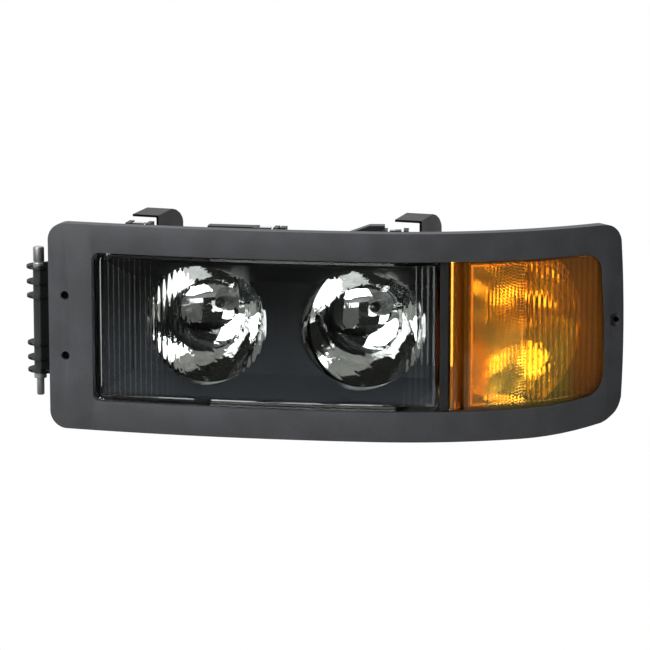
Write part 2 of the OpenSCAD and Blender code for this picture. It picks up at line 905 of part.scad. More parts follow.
module indicator_reflector() {
    color("#d9dadc") difference() {
        intersection() {
            arc_beyond(true, lens_recess + amber_t + 2);
            prism() amber_shape(amber_x1 + amber_t + 1.5, edge_gap + 4);
            paraboloid(amber_bulb, amber_vertex + mirror_t, amber_focal, mirror_r);
        }
        intersection() {
            prism() amber_shape(amber_x1 + amber_t + 3.5, edge_gap + 6);
            paraboloid(amber_bulb, amber_vertex, amber_focal, mirror_r);
        }
        rod_along_y(amber_bulb, 14.5, 100, 200);
    }
}

module indicator_screws() {
    color("#9a9b9f") for (z = strip_mids) on_front(amber_screw_x, z)
        pan_screw(rim_end, screw_len);
}

// Bent sheet brackets on the housing roof: a tongue, an upright with a rounded back, and a foot
bracket_tops = [167, 171];
tongue_depth = 43;
bracket_base = 75;
bracket_reach = 28.2;
foot_w = 20;
foot_screws = [20, 56];
bracket_in = [113.9, 45];
bracket_out = [385.5, 72];

// at is the outer face of the upright and its front edge
module bracket(at, top) {
    rise = top - house_top;
    back = [[-tongue_depth, rise], [-55, rise - 3], [-66, rise - 8], [-73, rise - 14],
        [-bracket_base, rise - 18]];
    translate([at[0], at[1], house_top]) {
        rotate([90, 0, -90]) linear_extrude(sheet_t)
            polygon(concat([[0, 0], [0, rise]], back, [[-bracket_base, 0]]));
        block([-bracket_reach, 0, rise - sheet_t], [0, tongue_depth, rise]);
        difference() {
            block([-sheet_t, 10, 0], [foot_w, bracket_base - 6, sheet_t]);
            for (y = foot_screws) translate([foot_w / 2 + 1, y, -1]) cylinder(r = screw_r + 0.2, h = 9);
        }
    }
}

module bracket_inner() {
    color("#151617") bracket(bracket_in, bracket_tops[0]);
}

module bracket_outer() {
    color("#151617") bracket(bracket_out, bracket_tops[1]);
}

module bracket_screws() {
    color("#9a9b9f") for (at = [bracket_in, bracket_out], y = foot_screws)
        translate([at[0] + foot_w / 2 + 1, at[1] + y, house_top + sheet_t]) {
            cylinder(r = screw_head[0], h = screw_head[1]);
            translate([0, 0, -sheet_t]) cylinder(r = screw_r, h = sheet_t);
        }
}

// Plain bushes in the housing walls that carry the carrier's pins
module trunnion_bushes() {
    color("#e4e2d8") for (x = [bush_in, bush_out]) difference() {
        rod_along_x(pivot, bush_r, x[0], x[1]);
        rod_along_x(pivot, trunnion_r + 0.05, x[0] - 1, x[1] + 1);
    }
}

// Levelling motor on the back of the housing, with a socket for the loom in its side
motor_foot = 4;
motor_len = 34;
motor_screws = [-24, 21.5];

module level_motor() {
    color("#2b2c2e") difference() {
        union() {
            rod_along_y([rod_x, rod_z], motor_spigot, back_in - 10, back_in + 1);
            block([rod_x - 28, back_in, rod_z - 16], [rod_x + 26, back_in + motor_foot, rod_z + 16]);
            block([rod_x - 20, back_in + 3, rod_z - 15], [rod_x + 17, back_in + motor_len, rod_z + 15]);
            rod_along_y([rod_x, rod_z], 13, back_in + motor_len - 4, back_in + motor_len + 4);
        }
        rod_along_y([rod_x, rod_z], rod_r + 0.06, 100, back_in + 21);
        for (x = motor_screws) rod_along_y([rod_x + x, rod_z], screw_r + 0.2, 120, 140);
        block([rod_x - 24, back_in + 12, rod_z - 6], [rod_x - 14, back_in + 28, rod_z + 6]);
    }
}

module level_motor_screws() {
    color("#9a9b9f") for (x = motor_screws) translate([rod_x + x, 0, rod_z])
        pan_screw(back_in + motor_foot, motor_foot);
}

// Socket for the loom, on the back of the housing, with its blades
connector_at = [97.5, 7];
socket_floor = 6;

module main_connector() {
    color("#2b2c2e") translate([connector_at[0], back_in, connector_at[1]]) difference() {
        union() {
            block([-21, 0, -12], [21, 20, 12]);
            block([-26, 0, -16], [26, 3, 16]);
        }
        block([-18.5, socket_floor, -9.5], [18.5, 25, 9.5]);
    }
}

module connector_pins() {
    color("#c2a24a") for (x = [-12 : 6 : 12], z = [-4.5, 4.5])
        translate([connector_at[0] + x, back_in + socket_floor, connector_at[1] + z])
            block([-1.4, 0, -0.4], [1.4, 9, 0.4]);
}

breather_at = [395.8, 9];
breather_r = 4;

module breather() {
    color("#1b1c1d") {
        rod_along_y(breather_at, breather_r, back_out - wall, back_out + 1);
        rod_along_y(breather_at, 7, back_out, back_out + 8);
        rod_along_y(breather_at, 9, back_out + 8, back_out + 12);
    }
}

// Carrier: a curved plate that holds both reflectors and tilts on two pins
module carrier_frame() {
    plate = bowl_rim + rim_t;
    color("#3a3b3e") difference() {
        union() {
            intersection() {
                arc_layer(false, plate, plate + plate_t);
                prism() rounded_rect(carrier_box, 12);
            }
            for (x = lug_x) block([x - lug_t / 2, flat_y(x) + plate + 1, pivot[1] - lug_h / 2],
                [x + lug_t / 2, pivot[0] + 7, pivot[1] + lug_h / 2]);
            block([rod_x - 6, flat_y(rod_x) + plate + 2, rod_z - 7], [rod_x + 6, pivot[0] - 7, rod_z + 7]);
        }
        for (x = [high_x, low_x]) rod_along_y([x, bowl_z], bowl_r + bowl_t + 0.3, front_most, 150);
        rod_along_x(pivot, trunnion_r, 60, 430);
        for (x = [high_x, low_x]) ear_spots(x) rod_along_y([0, 0], ear_screw_r + 0.4, 30, 60);
    }
}

module carrier_trunnions() {
    color("#b0b1b5") {
        rod_along_x(pivot, trunnion_r, bush_in[0] + 2, lug_x[0] + lug_t / 2);
        rod_along_x(pivot, trunnion_r, lug_x[1] - lug_t / 2, bush_out[1] - 2);
    }
}

// Ball socket at the foot of the carrier, for the levelling rod
module ball_socket() {
    color("#e4e2d8") difference() {
        block([rod_x - 9.5, pivot[0] - 7, rod_z - 9.5], [rod_x + 9.5, pivot[0] + 8, rod_z + 9.5]);
        translate([rod_x, pivot[0], rod_z]) sphere(r = ball_r + gap);
        rod_along_y([rod_x, rod_z], 3.8, pivot[0], 120);
    }
}

module level_rod() {
    color("#e4e2d8") {
        translate([rod_x, pivot[0], rod_z]) sphere(r = ball_r);
        rod_along_y([rod_x, rod_z], rod_r - 0.5, pivot[0], 100);
        rod_along_y([rod_x, rod_z], rod_r, 98, back_in + 14);
    }
}

// Places of the screws at the corners of a reflector, square to the front
module ear_spots(x) {
    for (dx = [-ear_off, ear_off], dz = [-ear_off, ear_off])
        on_flat(foot_x(x + dx, bowl_rim), bowl_z + dz) children();
}

module reflector_screws() {
    color("#b0b1b5") for (x = [high_x, low_x]) ear_spots(x) {
        seat = bowl_rim + rim_t + plate_t;
        rod_along_y([0, 0], ear_screw_r, bowl_rim + 0.5, seat);
        rod_along_y([0, 0], 2 * ear_screw_r, seat, seat + 2.4);
    }
}

// Reflector: parabolic bowl in a round collar, with a seat for the bulb behind it
module reflector(x) {
    v = vertex_y(x);
    bowl_at = [x, bowl_z];
    bulb_at = [x, bulb_z];
    difference() {
        union() {
            intersection() {
                rod_along_y(bowl_at, bowl_r + bowl_t, front_most, v + bowl_t);
                paraboloid(bulb_at, v + bowl_t + 0.6, focal, bowl_reach);
                arc_beyond(false, bowl_rim);
            }
            intersection() {
                arc_layer(false, bowl_rim, bowl_rim + rim_t);
                union() {
                    prism() intersection() {
                        translate(bowl_at) circle(r = bowl_edge);
                        plain_rect([0, 600, carrier_box[2], carrier_box[3]]);
                    }
                    for (dx = [-ear_off, ear_off], dz = [-ear_off, ear_off])
                        rod_along_y([x + dx, bowl_z + dz], bowl_ear, front_most, 150);
                }
            }
            rod_along_y(bulb_at, neck_r, v - 8, seat_y(x));
            for (s = [-5.5, 5.5]) translate([x + s, seat_y(x), bulb_z + bail_top])
                block([-1.5, -1, -2.5], [1.5, disc_t + bail_d + 1.2, 2.5]);
        }
        intersection() {
            rod_along_y(bowl_at, bowl_r, front_most, v + 1);
            paraboloid(bulb_at, v, focal, bowl_reach);
        }
        rod_along_y(bulb_at, bulb_hole_r, v - 20, v + 20);
        rod_along_x([bail_y(x), bulb_z + bail_top], bail_r + 0.05, x - 20, x + 20);
        ear_spots(x) rod_along_y([0, 0], ear_screw_r + 0.3, 30, 60);
    }
}

module high_reflector() {
    color("#d9dadc") reflector(high_x);
}

module low_reflector() {
    color("#d9dadc") reflector(low_x);
}

// Bulb: glass capsule in a metal collar on a round base with two blades
module bulb_glass(x) {
    v = seat_y(x);
    rod_along_y([x, bulb_z], glass_r, v - glass_len, v - glass_foot);
    translate([x, v - glass_len, bulb_z]) sphere(r = glass_r);
}

module bulb_base(x) {
    v = seat_y(x);
    difference() {
        union() {
            rod_along_y([x, bulb_z], sleeve_r, v - 8, v + 1);
            rod_along_y([x, bulb_z], bulb_hole_r - 0.1, v - 4, v + 1);
            rod_along_y([x, bulb_z], disc_r, v, v + disc_t);
            rod_along_y([x, bulb_z], base_r, v + 1, v + base_len);
            for (s = [-4, 4]) translate([x + s, v + base_len - 1, bulb_z])
                block([-0.4, 0, -3.1], [0.4, 10, 3.1]);
        }
        rod_along_y([x, bulb_z], glass_r, v - 30, v - glass_foot);
    }
}

module high_bulb_glass() {
    color("#e8eef0", 0.5) bulb_glass(high_x);
}

module high_bulb_base() {
    color("#a5a6a8") bulb_base(high_x);
}

module low_bulb_glass() {
    color("#e8eef0", 0.5) bulb_glass(low_x);
}

module low_bulb_base() {
    color("#a5a6a8") bulb_base(low_x);
}

// Bail: a sprung wire loop that holds the bulb down and swings back on two lugs
function bail_y(x) = seat_y(x) + disc_t + bail_r + 0.1;

module bail(x) {
    translate([x, bail_y(x), bulb_z]) {
        for (z = [bail_low, bail_top]) rod_along_x([0, z], bail_r, -bail_side, bail_side);
        for (s = [-bail_side, bail_side]) translate([s, 0, 0]) {
            translate([0, 0, bail_low]) cylinder(r = bail_r, h = bail_top - bail_low);
            for (z = [bail_low, bail_top]) translate([0, 0, z]) sphere(r = bail_r);
        }
    }
}

module high_bail() {
    color("#c9cacd") bail(high_x);
}

module low_bail() {
    color("#c9cacd") bail(low_x);
}

// Twist-off cap over a bulb chamber, with inward tabs that lock behind the lugs
cap_room = 5.4;
cap_wall = 3;
cap_rib_r = 1.6;
cap_seal_t = 2.2;

module cap(x, end) {
    skirt_r = chamber_r + cap_room;
    front = end - 14;
    top = end + cap_seal_t;
    difference() {
        union() {
            rod_along_y([x, bulb_z], skirt_r + cap_wall, front, top + cap_wall);
            translate([x, top + 2, bulb_z]) block([-30, 0, -4], [30, 12, 4]);
            for (a = [7.5 : 15 : 360]) translate([x, 0, bulb_z]) rotate([0, a, 0])
                rod_along_y([skirt_r + cap_wall, 0], cap_rib_r, front + 2, top + 1);
        }
        difference() {
            rod_along_y([x, bulb_z], skirt_r, front - 1, top);
            translate([x, front + 2.7, bulb_z]) rotate([90, 0, 0]) for (a = lock_turns) rotate([0, 0, a])
                rotate_extrude(angle = lock_arc) translate([chamber_r + 3.4, 0]) square([3, 2.3]);
        }
    }
}

module cap_seal(x, end) {
    difference() {
        rod_along_y([x, bulb_z], chamber_r + cap_room - 0.2, end + gap, end + cap_seal_t);
        rod_along_y([x, bulb_z], chamber_r - 2, end - 1, end + 3);
    }
}

module high_cap() {
    color("#1f2022") cap(high_x, chamber_in_end);
}

module high_cap_seal() {
    color("#3b3c3e") cap_seal(high_x, chamber_in_end);
}

module low_cap() {
    color("#1f2022") cap(low_x, chamber_out_end);
}

module low_cap_seal() {
    color("#3b3c3e") cap_seal(low_x, chamber_out_end);
}

// Twist-in holder for the indicator bulb, with its own socket for the loom
holder_front = 157;
holder_floor = 168;
amber_base_r = 7.6;
amber_globe_y = 131;
amber_globe_r = 12.6;

module indicator_holder() {
    seat = amber_back + wall;
    color("#4a4b4e") difference() {
        union() {
            rod_along_y(amber_bulb, holder_r, holder_front, seat + 3);
            holder_sectors(0, 12, 15.6, amber_back - 4, amber_back - gap);
            rod_along_y(amber_bulb, 19, seat + 1.8, seat + 5);
            translate([amber_bulb[0], seat + 4, amber_bulb[1]]) block([-12, 0, -8], [12, 18, 8]);
        }
        rod_along_y(amber_bulb, amber_base_r, 150, holder_floor);
        translate([amber_bulb[0], seat + 9, amber_bulb[1]]) block([-9.5, 0, -5.5], [9.5, 20, 5.5]);
    }
}

module holder_seal() {
    seat = amber_back + wall;
    color("#18191a") difference() {
        rod_along_y(amber_bulb, 18.4, seat + gap, seat + 1.8);
        rod_along_y(amber_bulb, holder_r, seat - 1, seat + 3);
    }
}

module indicator_bulb_base() {
    color("#b89a4e") rod_along_y(amber_bulb, amber_base_r, 149, holder_floor);
}

module indicator_bulb_glass() {
    color("#e8eef0", 0.5) {
        translate([amber_bulb[0], amber_globe_y, amber_bulb[1]]) sphere(r = amber_globe_r);
        rod_along_y(amber_bulb, 7, amber_globe_y, 149);
    }
}

hinge_pin();
hinge_collar();
hinge_washer();
bezel_frame();
hinge_leaf();
hinge_screws();
hinge_nuts();
lamp_housing();
main_lens();
lens_seal();
inner_bezel();
lens_clips();
divider_strip();
housing_screws();
indicator_lens();
indicator_seal();
indicator_housing();
indicator_reflector();
indicator_screws();
bracket_inner();
bracket_outer();
bracket_screws();
trunnion_bushes();
level_motor();
level_motor_screws();
main_connector();
connector_pins();
breather();
carrier_frame();
carrier_trunnions();
ball_socket();
high_reflector();
low_reflector();
reflector_screws();
high_bulb_glass();
high_bulb_base();
low_bulb_glass();
low_bulb_base();
level_rod();
high_bail();
low_bail();
high_cap();
high_cap_seal();
low_cap();
low_cap_seal();
indicator_holder();
holder_seal();
indicator_bulb_base();
indicator_bulb_glass();
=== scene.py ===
import math

import bmesh
import bpy
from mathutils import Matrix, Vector


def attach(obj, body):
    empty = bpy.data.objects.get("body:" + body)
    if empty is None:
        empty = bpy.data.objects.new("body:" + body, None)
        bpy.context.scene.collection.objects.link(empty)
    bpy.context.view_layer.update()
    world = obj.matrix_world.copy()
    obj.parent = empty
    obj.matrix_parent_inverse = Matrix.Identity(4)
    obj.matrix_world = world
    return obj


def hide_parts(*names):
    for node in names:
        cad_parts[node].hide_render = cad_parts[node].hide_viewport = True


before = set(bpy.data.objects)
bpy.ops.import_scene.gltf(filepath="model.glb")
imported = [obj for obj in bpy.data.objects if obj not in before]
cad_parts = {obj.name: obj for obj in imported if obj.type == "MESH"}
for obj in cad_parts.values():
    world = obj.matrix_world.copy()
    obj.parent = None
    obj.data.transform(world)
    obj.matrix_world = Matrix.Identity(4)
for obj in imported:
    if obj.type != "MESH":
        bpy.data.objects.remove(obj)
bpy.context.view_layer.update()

# Hinge pin: a turned steel bar with a straight-knurled head, a pressed-on collar and a bright washer.
# It is held by the vehicle, and the lamp swings round it.
MM = 0.001


def linear(code):
    """The linear colour of an sRGB hex code."""
    parts = [int(code[i:i + 2], 16) / 255 for i in (1, 3, 5)]
    return [c / 12.92 if c <= 0.04045 else ((c + 0.055) / 1.055) ** 2.4 for c in parts] + [1.0]


def add_node(tree, kind, links=None, values=None, **settings):
    """Adds a node, sets its options and its sockets' values, and links its inputs."""
    node = tree.nodes.new(kind)
    for key, value in settings.items():
        setattr(node, key, value)
    for key, value in (values or {}).items():
        node.inputs[key].default_value = value
    for key, source in (links or {}).items():
        tree.links.new(source, node.inputs[key])
    return node


def new_material(name, values):
    """A material with one principled shader; returns it with its node tree and shader."""
    made = bpy.data.materials.new(name)
    made.use_nodes = True
    tree = made.node_tree
    tree.nodes.clear()
    shader = add_node(tree, "ShaderNodeBsdfPrincipled", values=values)
    add_node(tree, "ShaderNodeOutputMaterial", {"Surface": shader.outputs["BSDF"]})
    return made, tree, shader


def shades(tree, source, low, high, span=(0.3, 0.7)):
    """A ramp between two hex colours."""
    ramp = add_node(tree, "ShaderNodeValToRGB", {"Fac": source})
    for stop, place, code in zip(ramp.color_ramp.elements, span, (low, high)):
        stop.position = place
        stop.color = linear(code)
    return ramp.outputs["Color"]


def metal(name, low, high, roughness, grain, stretch=(1, 1, 1)):
    """Bare or plated metal: colour and gloss wander a little along the working marks."""
    made, tree, shader = new_material(name, {"Metallic": 1.0})
    place = add_node(tree, "ShaderNodeTexCoord").outputs["Object"]
    drawn = add_node(tree, "ShaderNodeMapping", {"Vector": place}, {"Scale": stretch})
    marks = add_node(tree, "ShaderNodeTexNoise", {"Vector": drawn.outputs["Vector"]},
                     {"Scale": 1 / grain, "Detail": 4.0}).outputs["Fac"]
    gloss = add_node(tree, "ShaderNodeMapRange", {"Value": marks},
                     {"To Min": roughness * 0.75, "To Max": roughness * 1.3})
    bump = add_node(tree, "ShaderNodeBump", {"Height": marks},
                    {"Strength": 0.15, "Distance": 0.05 * MM})
    tree.links.new(shades(tree, marks, low, high), shader.inputs["Base Color"])
    tree.links.new(gloss.outputs["Result"], shader.inputs["Roughness"])
    tree.links.new(bump.outputs["Normal"], shader.inputs["Normal"])
    return made


def finish_mesh(piece, smooth_angle=40):
    """Merges doubles, points the faces outwards and shades curved surfaces smoothly."""
    bpy.context.view_layer.objects.active = piece
    bpy.ops.object.mode_set(mode="EDIT")
    bpy.ops.mesh.select_all(action="SELECT")
    bpy.ops.mesh.remove_doubles(threshold=0.002 * MM)
    bpy.ops.mesh.normals_make_consistent(inside=False)
    bpy.ops.object.mode_set(mode="OBJECT")
    bpy.ops.object.transform_apply(location=True, rotation=True, scale=True)
    bpy.ops.object.shade_smooth_by_angle(angle=math.radians(smooth_angle))


def turned(name, centre, axis, profile, steps):
    """A piece turned about Y or Z through centre: profile lists its radius and place along the axis."""
    lead = Vector((0, axis == "Y", axis == "Z"))
    turn = (math.pi / 2, 0, 0) if axis == "Y" else (0, 0, 0)
    r, s = profile[0]
    bpy.ops.object.select_all(action="DESELECT")
    bpy.ops.mesh.primitive_circle_add(vertices=steps, radius=r, fill_type="NGON",
                                      location=Vector(centre) + lead * s, rotation=turn)
    piece = bpy.context.object
    piece.name = piece.data.name = name
    bpy.ops.object.mode_set(mode="EDIT")
    bpy.ops.mesh.select_all(action="SELECT")
    for r_new, s_new in profile[1:]:
        bpy.ops.mesh.extrude_region_move(TRANSFORM_OT_translate={"value": lead * (s_new - s)})
        grow = [1 if along else r_new / r for along in lead]
        bpy.ops.transform.resize(value=grow, center_override=Vector(centre) + lead * s_new)
        r, s = r_new, s_new
    bpy.ops.object.mode_set(mode="OBJECT")
    finish_mesh(piece)
    return piece


def paint(material, *pieces):
    """Gives CAD nodes, by name, or new pieces one material."""
    for item in pieces:
        mesh = (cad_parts[item] if isinstance(item, str) else item).data
        mesh.materials.clear()
        mesh.materials.append(material)


PIN_R, TAIL_R, HEAD_R = 4.5 * MM, 3.9 * MM, 5.65 * MM
TAIL_Z, HEAD_Z, HEAD_TOP = -17.9 * MM, 117.3 * MM, 136.4 * MM
KNURL_Z = HEAD_Z + 4 * MM
KNURLS = 96  # ridges and grooves round the head
GROOVE = 0.9  # a groove's radius as a share of a ridge's
pin = turned("pin_knurled", (0, 0, 0), "Z", [
    (3.2 * MM, TAIL_Z), (TAIL_R, -17.0 * MM), (TAIL_R, 0), (PIN_R, 0.05 * MM), (PIN_R, HEAD_Z),
    (HEAD_R - 0.4 * MM, HEAD_Z), (HEAD_R, HEAD_Z + 0.5 * MM), (HEAD_R, HEAD_Z + 2.4 * MM),
    (HEAD_R - 0.5 * MM, HEAD_Z + 3.0 * MM), (HEAD_R - 0.5 * MM, HEAD_Z + 3.6 * MM),
    (HEAD_R, HEAD_Z + 4.2 * MM), (HEAD_R, HEAD_TOP - 1.4 * MM),
    (HEAD_R - 0.8 * MM, HEAD_TOP)], KNURLS)
bpy.ops.object.mode_set(mode="EDIT")
bpy.ops.mesh.select_all(action="DESELECT")
knurled = bmesh.from_edit_mesh(pin.data)
for v in knurled.verts:
    groove = round(math.atan2(v.co.y, v.co.x) / (2 * math.pi / KNURLS)) % 2
    radius = math.hypot(v.co.x, v.co.y)
    v.select = bool(groove) and radius > HEAD_R - 0.1 * MM and v.co.z > KNURL_Z
knurled.select_flush_mode()
bmesh.update_edit_mesh(pin.data)
bpy.ops.transform.resize(value=(GROOVE, GROOVE, 1), center_override=(0, 0, HEAD_Z))
bpy.ops.object.mode_set(mode="OBJECT")
# Drawn steel bar: grey, half bright, with fine turning marks round it
pin_steel = metal("drawn steel", "#909193", "#c6c7c8", 0.5, 1.2 * MM, (1, 1, 6))
# Zinc-plated steel: pale and a little cloudy
zinc = metal("zinc-plated steel", "#a9abad", "#d3d4d5", 0.28, 2.5 * MM)
paint(pin_steel, pin, "hinge_collar")
paint(zinc, "hinge_washer")
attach(pin, "hinge_post")
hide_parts("hinge_pin")

# Hinge leaf: a black glass-filled nylon moulding, ribbed, with the barrel that turns on the pin.
# Two screws and nuts clamp it to the back of the frame.


def soften(*names, width=0.5 * MM, segments=2):
    """Rounds the edges of CAD nodes as a mould or press leaves them."""
    for name in names:
        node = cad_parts[name]
        weld = node.modifiers.new("weld", "WELD")
        weld.merge_threshold = 0.005 * MM
        edge = node.modifiers.new("edge", "BEVEL")
        edge.width = width
        edge.segments = segments
        edge.limit_method = "ANGLE"
        edge.angle_limit = math.radians(38)


def share_along(tree, axis, low, high, middle=None):
    """From 0 to 1 between two places on an axis, or between two distances either side of a middle."""
    place = add_node(tree, "ShaderNodeTexCoord").outputs["Object"]
    where = add_node(tree, "ShaderNodeSeparateXYZ", {0: place}).outputs[axis]
    if middle is not None:
        off = add_node(tree, "ShaderNodeMath", {0: where}, {1: middle}, operation="SUBTRACT")
        where = add_node(tree, "ShaderNodeMath", {0: off.outputs[0]},
                         operation="ABSOLUTE").outputs[0]
    return add_node(tree, "ShaderNodeMapRange", {"Value": where},
                    {"From Min": low, "From Max": high}).outputs["Result"]


def moulded(name, low, high, roughness, grain, depth, specular=0.5, fade=None):
    """Moulded plastic, rubber or paint: a grain that breaks the gloss, and colour that lies in faint
    clouds or fades along an axis."""
    made, tree, shader = new_material(name, {"Specular IOR Level": specular})
    place = add_node(tree, "ShaderNodeTexCoord").outputs["Object"]
    skin = add_node(tree, "ShaderNodeTexNoise", {"Vector": place},
                    {"Scale": 1 / grain, "Detail": 3.0}).outputs["Fac"]
    cloud = add_node(tree, "ShaderNodeTexNoise", {"Vector": place},
                     {"Scale": 1 / (30 * MM), "Detail": 4.0}).outputs["Fac"]
    gloss = add_node(tree, "ShaderNodeMapRange", {"Value": cloud},
                     {"To Min": roughness - 0.08, "To Max": roughness + 0.08})
    bump = add_node(tree, "ShaderNodeBump", {"Height": skin}, {"Strength": 0.6, "Distance": depth})
    if fade:
        colour = shades(tree, share_along(tree, *fade), low, high, (0, 1))
    else:
        both = add_node(tree, "ShaderNodeMath", {0: skin, 1: cloud}, operation="MULTIPLY")
        colour = shades(tree, both.outputs["Value"], low, high, (0.12, 0.4))
    tree.links.new(colour, shader.inputs["Base Color"])
    tree.links.new(gloss.outputs["Result"], shader.inputs["Roughness"])
    tree.links.new(bump.outputs["Normal"], shader.inputs["Normal"])
    return made


# Glass-filled nylon: dull, with painted light making the barrel grey and painted shade making the ribs
# and the web black
BARREL_X, BARREL_R, WEB_R = -1.6 * MM, 4.0 * MM, 5.8 * MM
leaf_nylon = moulded("nylon with painted shade", "#363737", "#040505", 0.5, 1.4 * MM, 0.06 * MM, 0.12,
                     ("X", BARREL_R, WEB_R, BARREL_X))
paint(leaf_nylon, "hinge_leaf")
soften("hinge_leaf", width=0.6 * MM)
# Black-oxide steel: dark and dull, so that the screws hardly show in their holes
black_steel = metal("black-oxide steel", "#0b0b0c", "#1a1a1b", 0.5, 2.0 * MM)
paint(black_steel, "hinge_screws")
paint(zinc, "hinge_nuts")

# Frame: a dark grey ABS moulding with a spark-eroded grain, curved round the corner of the cab.
# It is screwed to the lamp from behind and carries the hinge leaf.
# Grained ABS: an even, dull grey. The real grain is about 0.3 mm; it is drawn at 1 mm so that it shows
abs_grey = moulded("grained grey ABS", "#3b3c3f", "#494a4e", 0.55, 1.0 * MM, 0.05 * MM)
paint(abs_grey, "bezel_frame")
soften("bezel_frame", width=0.9 * MM, segments=3)

# Lamp housing: a black polypropylene moulding with two bulb chambers, closed in front by the glass.
# A rubber cord seals the glass, and screws from behind hold the housing to the frame.
# Polypropylene: black, waxy and half dull, with a faint mottle from its flow in the mould
polypropylene = moulded("black polypropylene", "#17181a", "#292a2c", 0.5, 2.0 * MM, 0.04 * MM)
# Rubber: black and quite dull, a little powdery
rubber = moulded("black rubber", "#101112", "#1c1d1e", 0.7, 0.9 * MM, 0.03 * MM, 0.3)
paint(polypropylene, "lamp_housing")
paint(rubber, "lens_seal")
paint(zinc, "housing_screws")

# Carrier: a grey glass-filled moulding that holds both reflectors and tilts on two plated pins in
# white acetal bushes. The levelling rod clips into its acetal ball socket.
# Glass-filled nylon left grey: dull, mottled by the fibres near its skin
carrier_nylon = moulded("grey glass-filled nylon", "#2b2c2f", "#3d3e41", 0.5, 1.6 * MM, 0.05 * MM)
# Natural acetal: milky white with a soft gloss
acetal = moulded("natural acetal", "#d6d3c6", "#e8e6dc", 0.35, 3.0 * MM, 0.01 * MM)
paint(carrier_nylon, "carrier_frame")
paint(zinc, "carrier_trunnions")
paint(acetal, "trunnion_bushes", "ball_socket", "level_rod")

# Reflectors: deep parabolic bowls of moulded thermoset, lacquered and aluminised to a mirror.
# Each is screwed to the carrier by its collar and takes its bulb from behind.
BOWL_Z, BULB_Z = 63.3 * MM, 75.3 * MM
BOWL_R, HOLE_R, FOCAL = 62.5 * MM, 13.0 * MM, 22.0 * MM
RINGS, SPOKES = 26, 128
MIRROR_GAP = 0.15 * MM  # from the moulded bowl to the coat in front of it
HIGH_X, LOW_X = 172.4 * MM, 330.8 * MM
VERTEX = {"high": 92.73 * MM, "low": 116.77 * MM}


def bowl(name, x, vertex):
    """The mirror inside one reflector: rings drawn in from the round mouth to the bulb's hole."""
    bpy.ops.object.select_all(action="DESELECT")
    bpy.ops.mesh.primitive_circle_add(vertices=SPOKES, radius=BOWL_R, fill_type="NOTHING",
                                      location=(x, 0, BOWL_Z), rotation=(math.pi / 2, 0, 0))
    piece = bpy.context.object
    piece.name = piece.data.name = name
    bpy.ops.object.transform_apply(location=True, rotation=True, scale=True)
    bpy.ops.object.mode_set(mode="EDIT")
    bpy.ops.mesh.select_all(action="SELECT")
    r, z = BOWL_R, BOWL_Z
    for i in range(1, RINGS + 1):
        t = i / RINGS
        r_new, z_new = BOWL_R + (HOLE_R - BOWL_R) * t, BOWL_Z + (BULB_Z - BOWL_Z) * t
        bpy.ops.mesh.extrude_edges_move(TRANSFORM_OT_translate={"value": (0, 0, z_new - z)})
        bpy.ops.transform.resize(value=(r_new / r, 1, r_new / r), center_override=(x, 0, z_new))
        r, z = r_new, z_new
    bpy.ops.object.mode_set(mode="OBJECT")
    for v in piece.data.vertices:
        v.co.y = vertex - ((v.co.x - x) ** 2 + (v.co.z - BULB_Z) ** 2) / (4 * FOCAL)
    bpy.ops.object.mode_set(mode="EDIT")
    bpy.ops.mesh.select_all(action="SELECT")
    bpy.ops.mesh.normals_make_consistent(inside=False)
    bpy.ops.object.mode_set(mode="OBJECT")
    return piece


def facing(piece, direction):
    """Turns the faces of an open sheet so that most of them look along direction."""
    mean = sum((f.normal * f.area for f in piece.data.polygons), Vector())
    if mean.dot(Vector(direction)) < 0:
        piece.data.flip_normals()


# Vacuum-deposited aluminium under clear lacquer: a near-perfect mirror, rippled by the moulding
aluminised, tree, shader = new_material("vacuum aluminium", {"Metallic": 1.0, "Roughness": 0.03})
place = add_node(tree, "ShaderNodeTexCoord").outputs["Object"]
ripple = add_node(tree, "ShaderNodeTexNoise", {"Vector": place},
                  {"Scale": 1 / (14 * MM), "Detail": 1.0}).outputs["Fac"]
bump = add_node(tree, "ShaderNodeBump", {"Height": ripple}, {"Strength": 0.08, "Distance": 1.0 * MM})
tree.links.new(shades(tree, ripple, "#dcdcdb", "#eeeeed"), shader.inputs["Base Color"])
tree.links.new(bump.outputs["Normal"], shader.inputs["Normal"])
for beam, x in (("high", HIGH_X), ("low", LOW_X)):
    mirror = bowl(beam + "_mirror", x, VERTEX[beam] - MIRROR_GAP)
    facing(mirror, (0, -1, 0))
    bpy.ops.object.shade_smooth()
    paint(aluminised, mirror, beam + "_reflector")
    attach(mirror, "carrier")
paint(zinc, "reflector_screws")

# Bulbs: a hard-glass capsule with a black tip, cemented in a steel collar on a moulded base.
# A sprung wire bail holds each one against its seat.
CAPSULE_R, CAPSULE_WALL, CAPSULE_FOOT, CAPSULE_END = 5.75 * MM, 1.0 * MM, -2.1 * MM, -29 * MM
TIP_R, TIP_INNER_R, TIP_END = 5.78 * MM, 5.35 * MM, -29.2 * MM
SEAT_GAP = 5 * MM
COIL_R, COIL_Y, COIL_PITCH, COIL_RINGS = (0.5 * MM, 0.75 * MM), -24, 0.25, 21
DOME_RINGS, BULB_STEPS, COIL_STEPS = 10, 48, 16
# Hard glass: water-clear and fire-polished, so that only its edges and highlights show
quartz = new_material("hard glass", {
    "Base Color": linear("#f4f7f8"), "Roughness": 0.0, "IOR": 1.47, "Transmission Weight": 1.0})[0]
# Pressed steel: grey and half bright, with faint drawing marks
bulb_steel = metal("pressed bulb steel", "#8b8b8a", "#b4b4b2", 0.35, 3.0 * MM)
# Spring steel: smooth and bright
spring_steel = metal("bright spring steel", "#b3b4b6", "#dadbdc", 0.22, 2.0 * MM)
# Tungsten: dark grey wire
tungsten = metal("tungsten", "#3c3c3f", "#58585b", 0.45, 0.6 * MM)
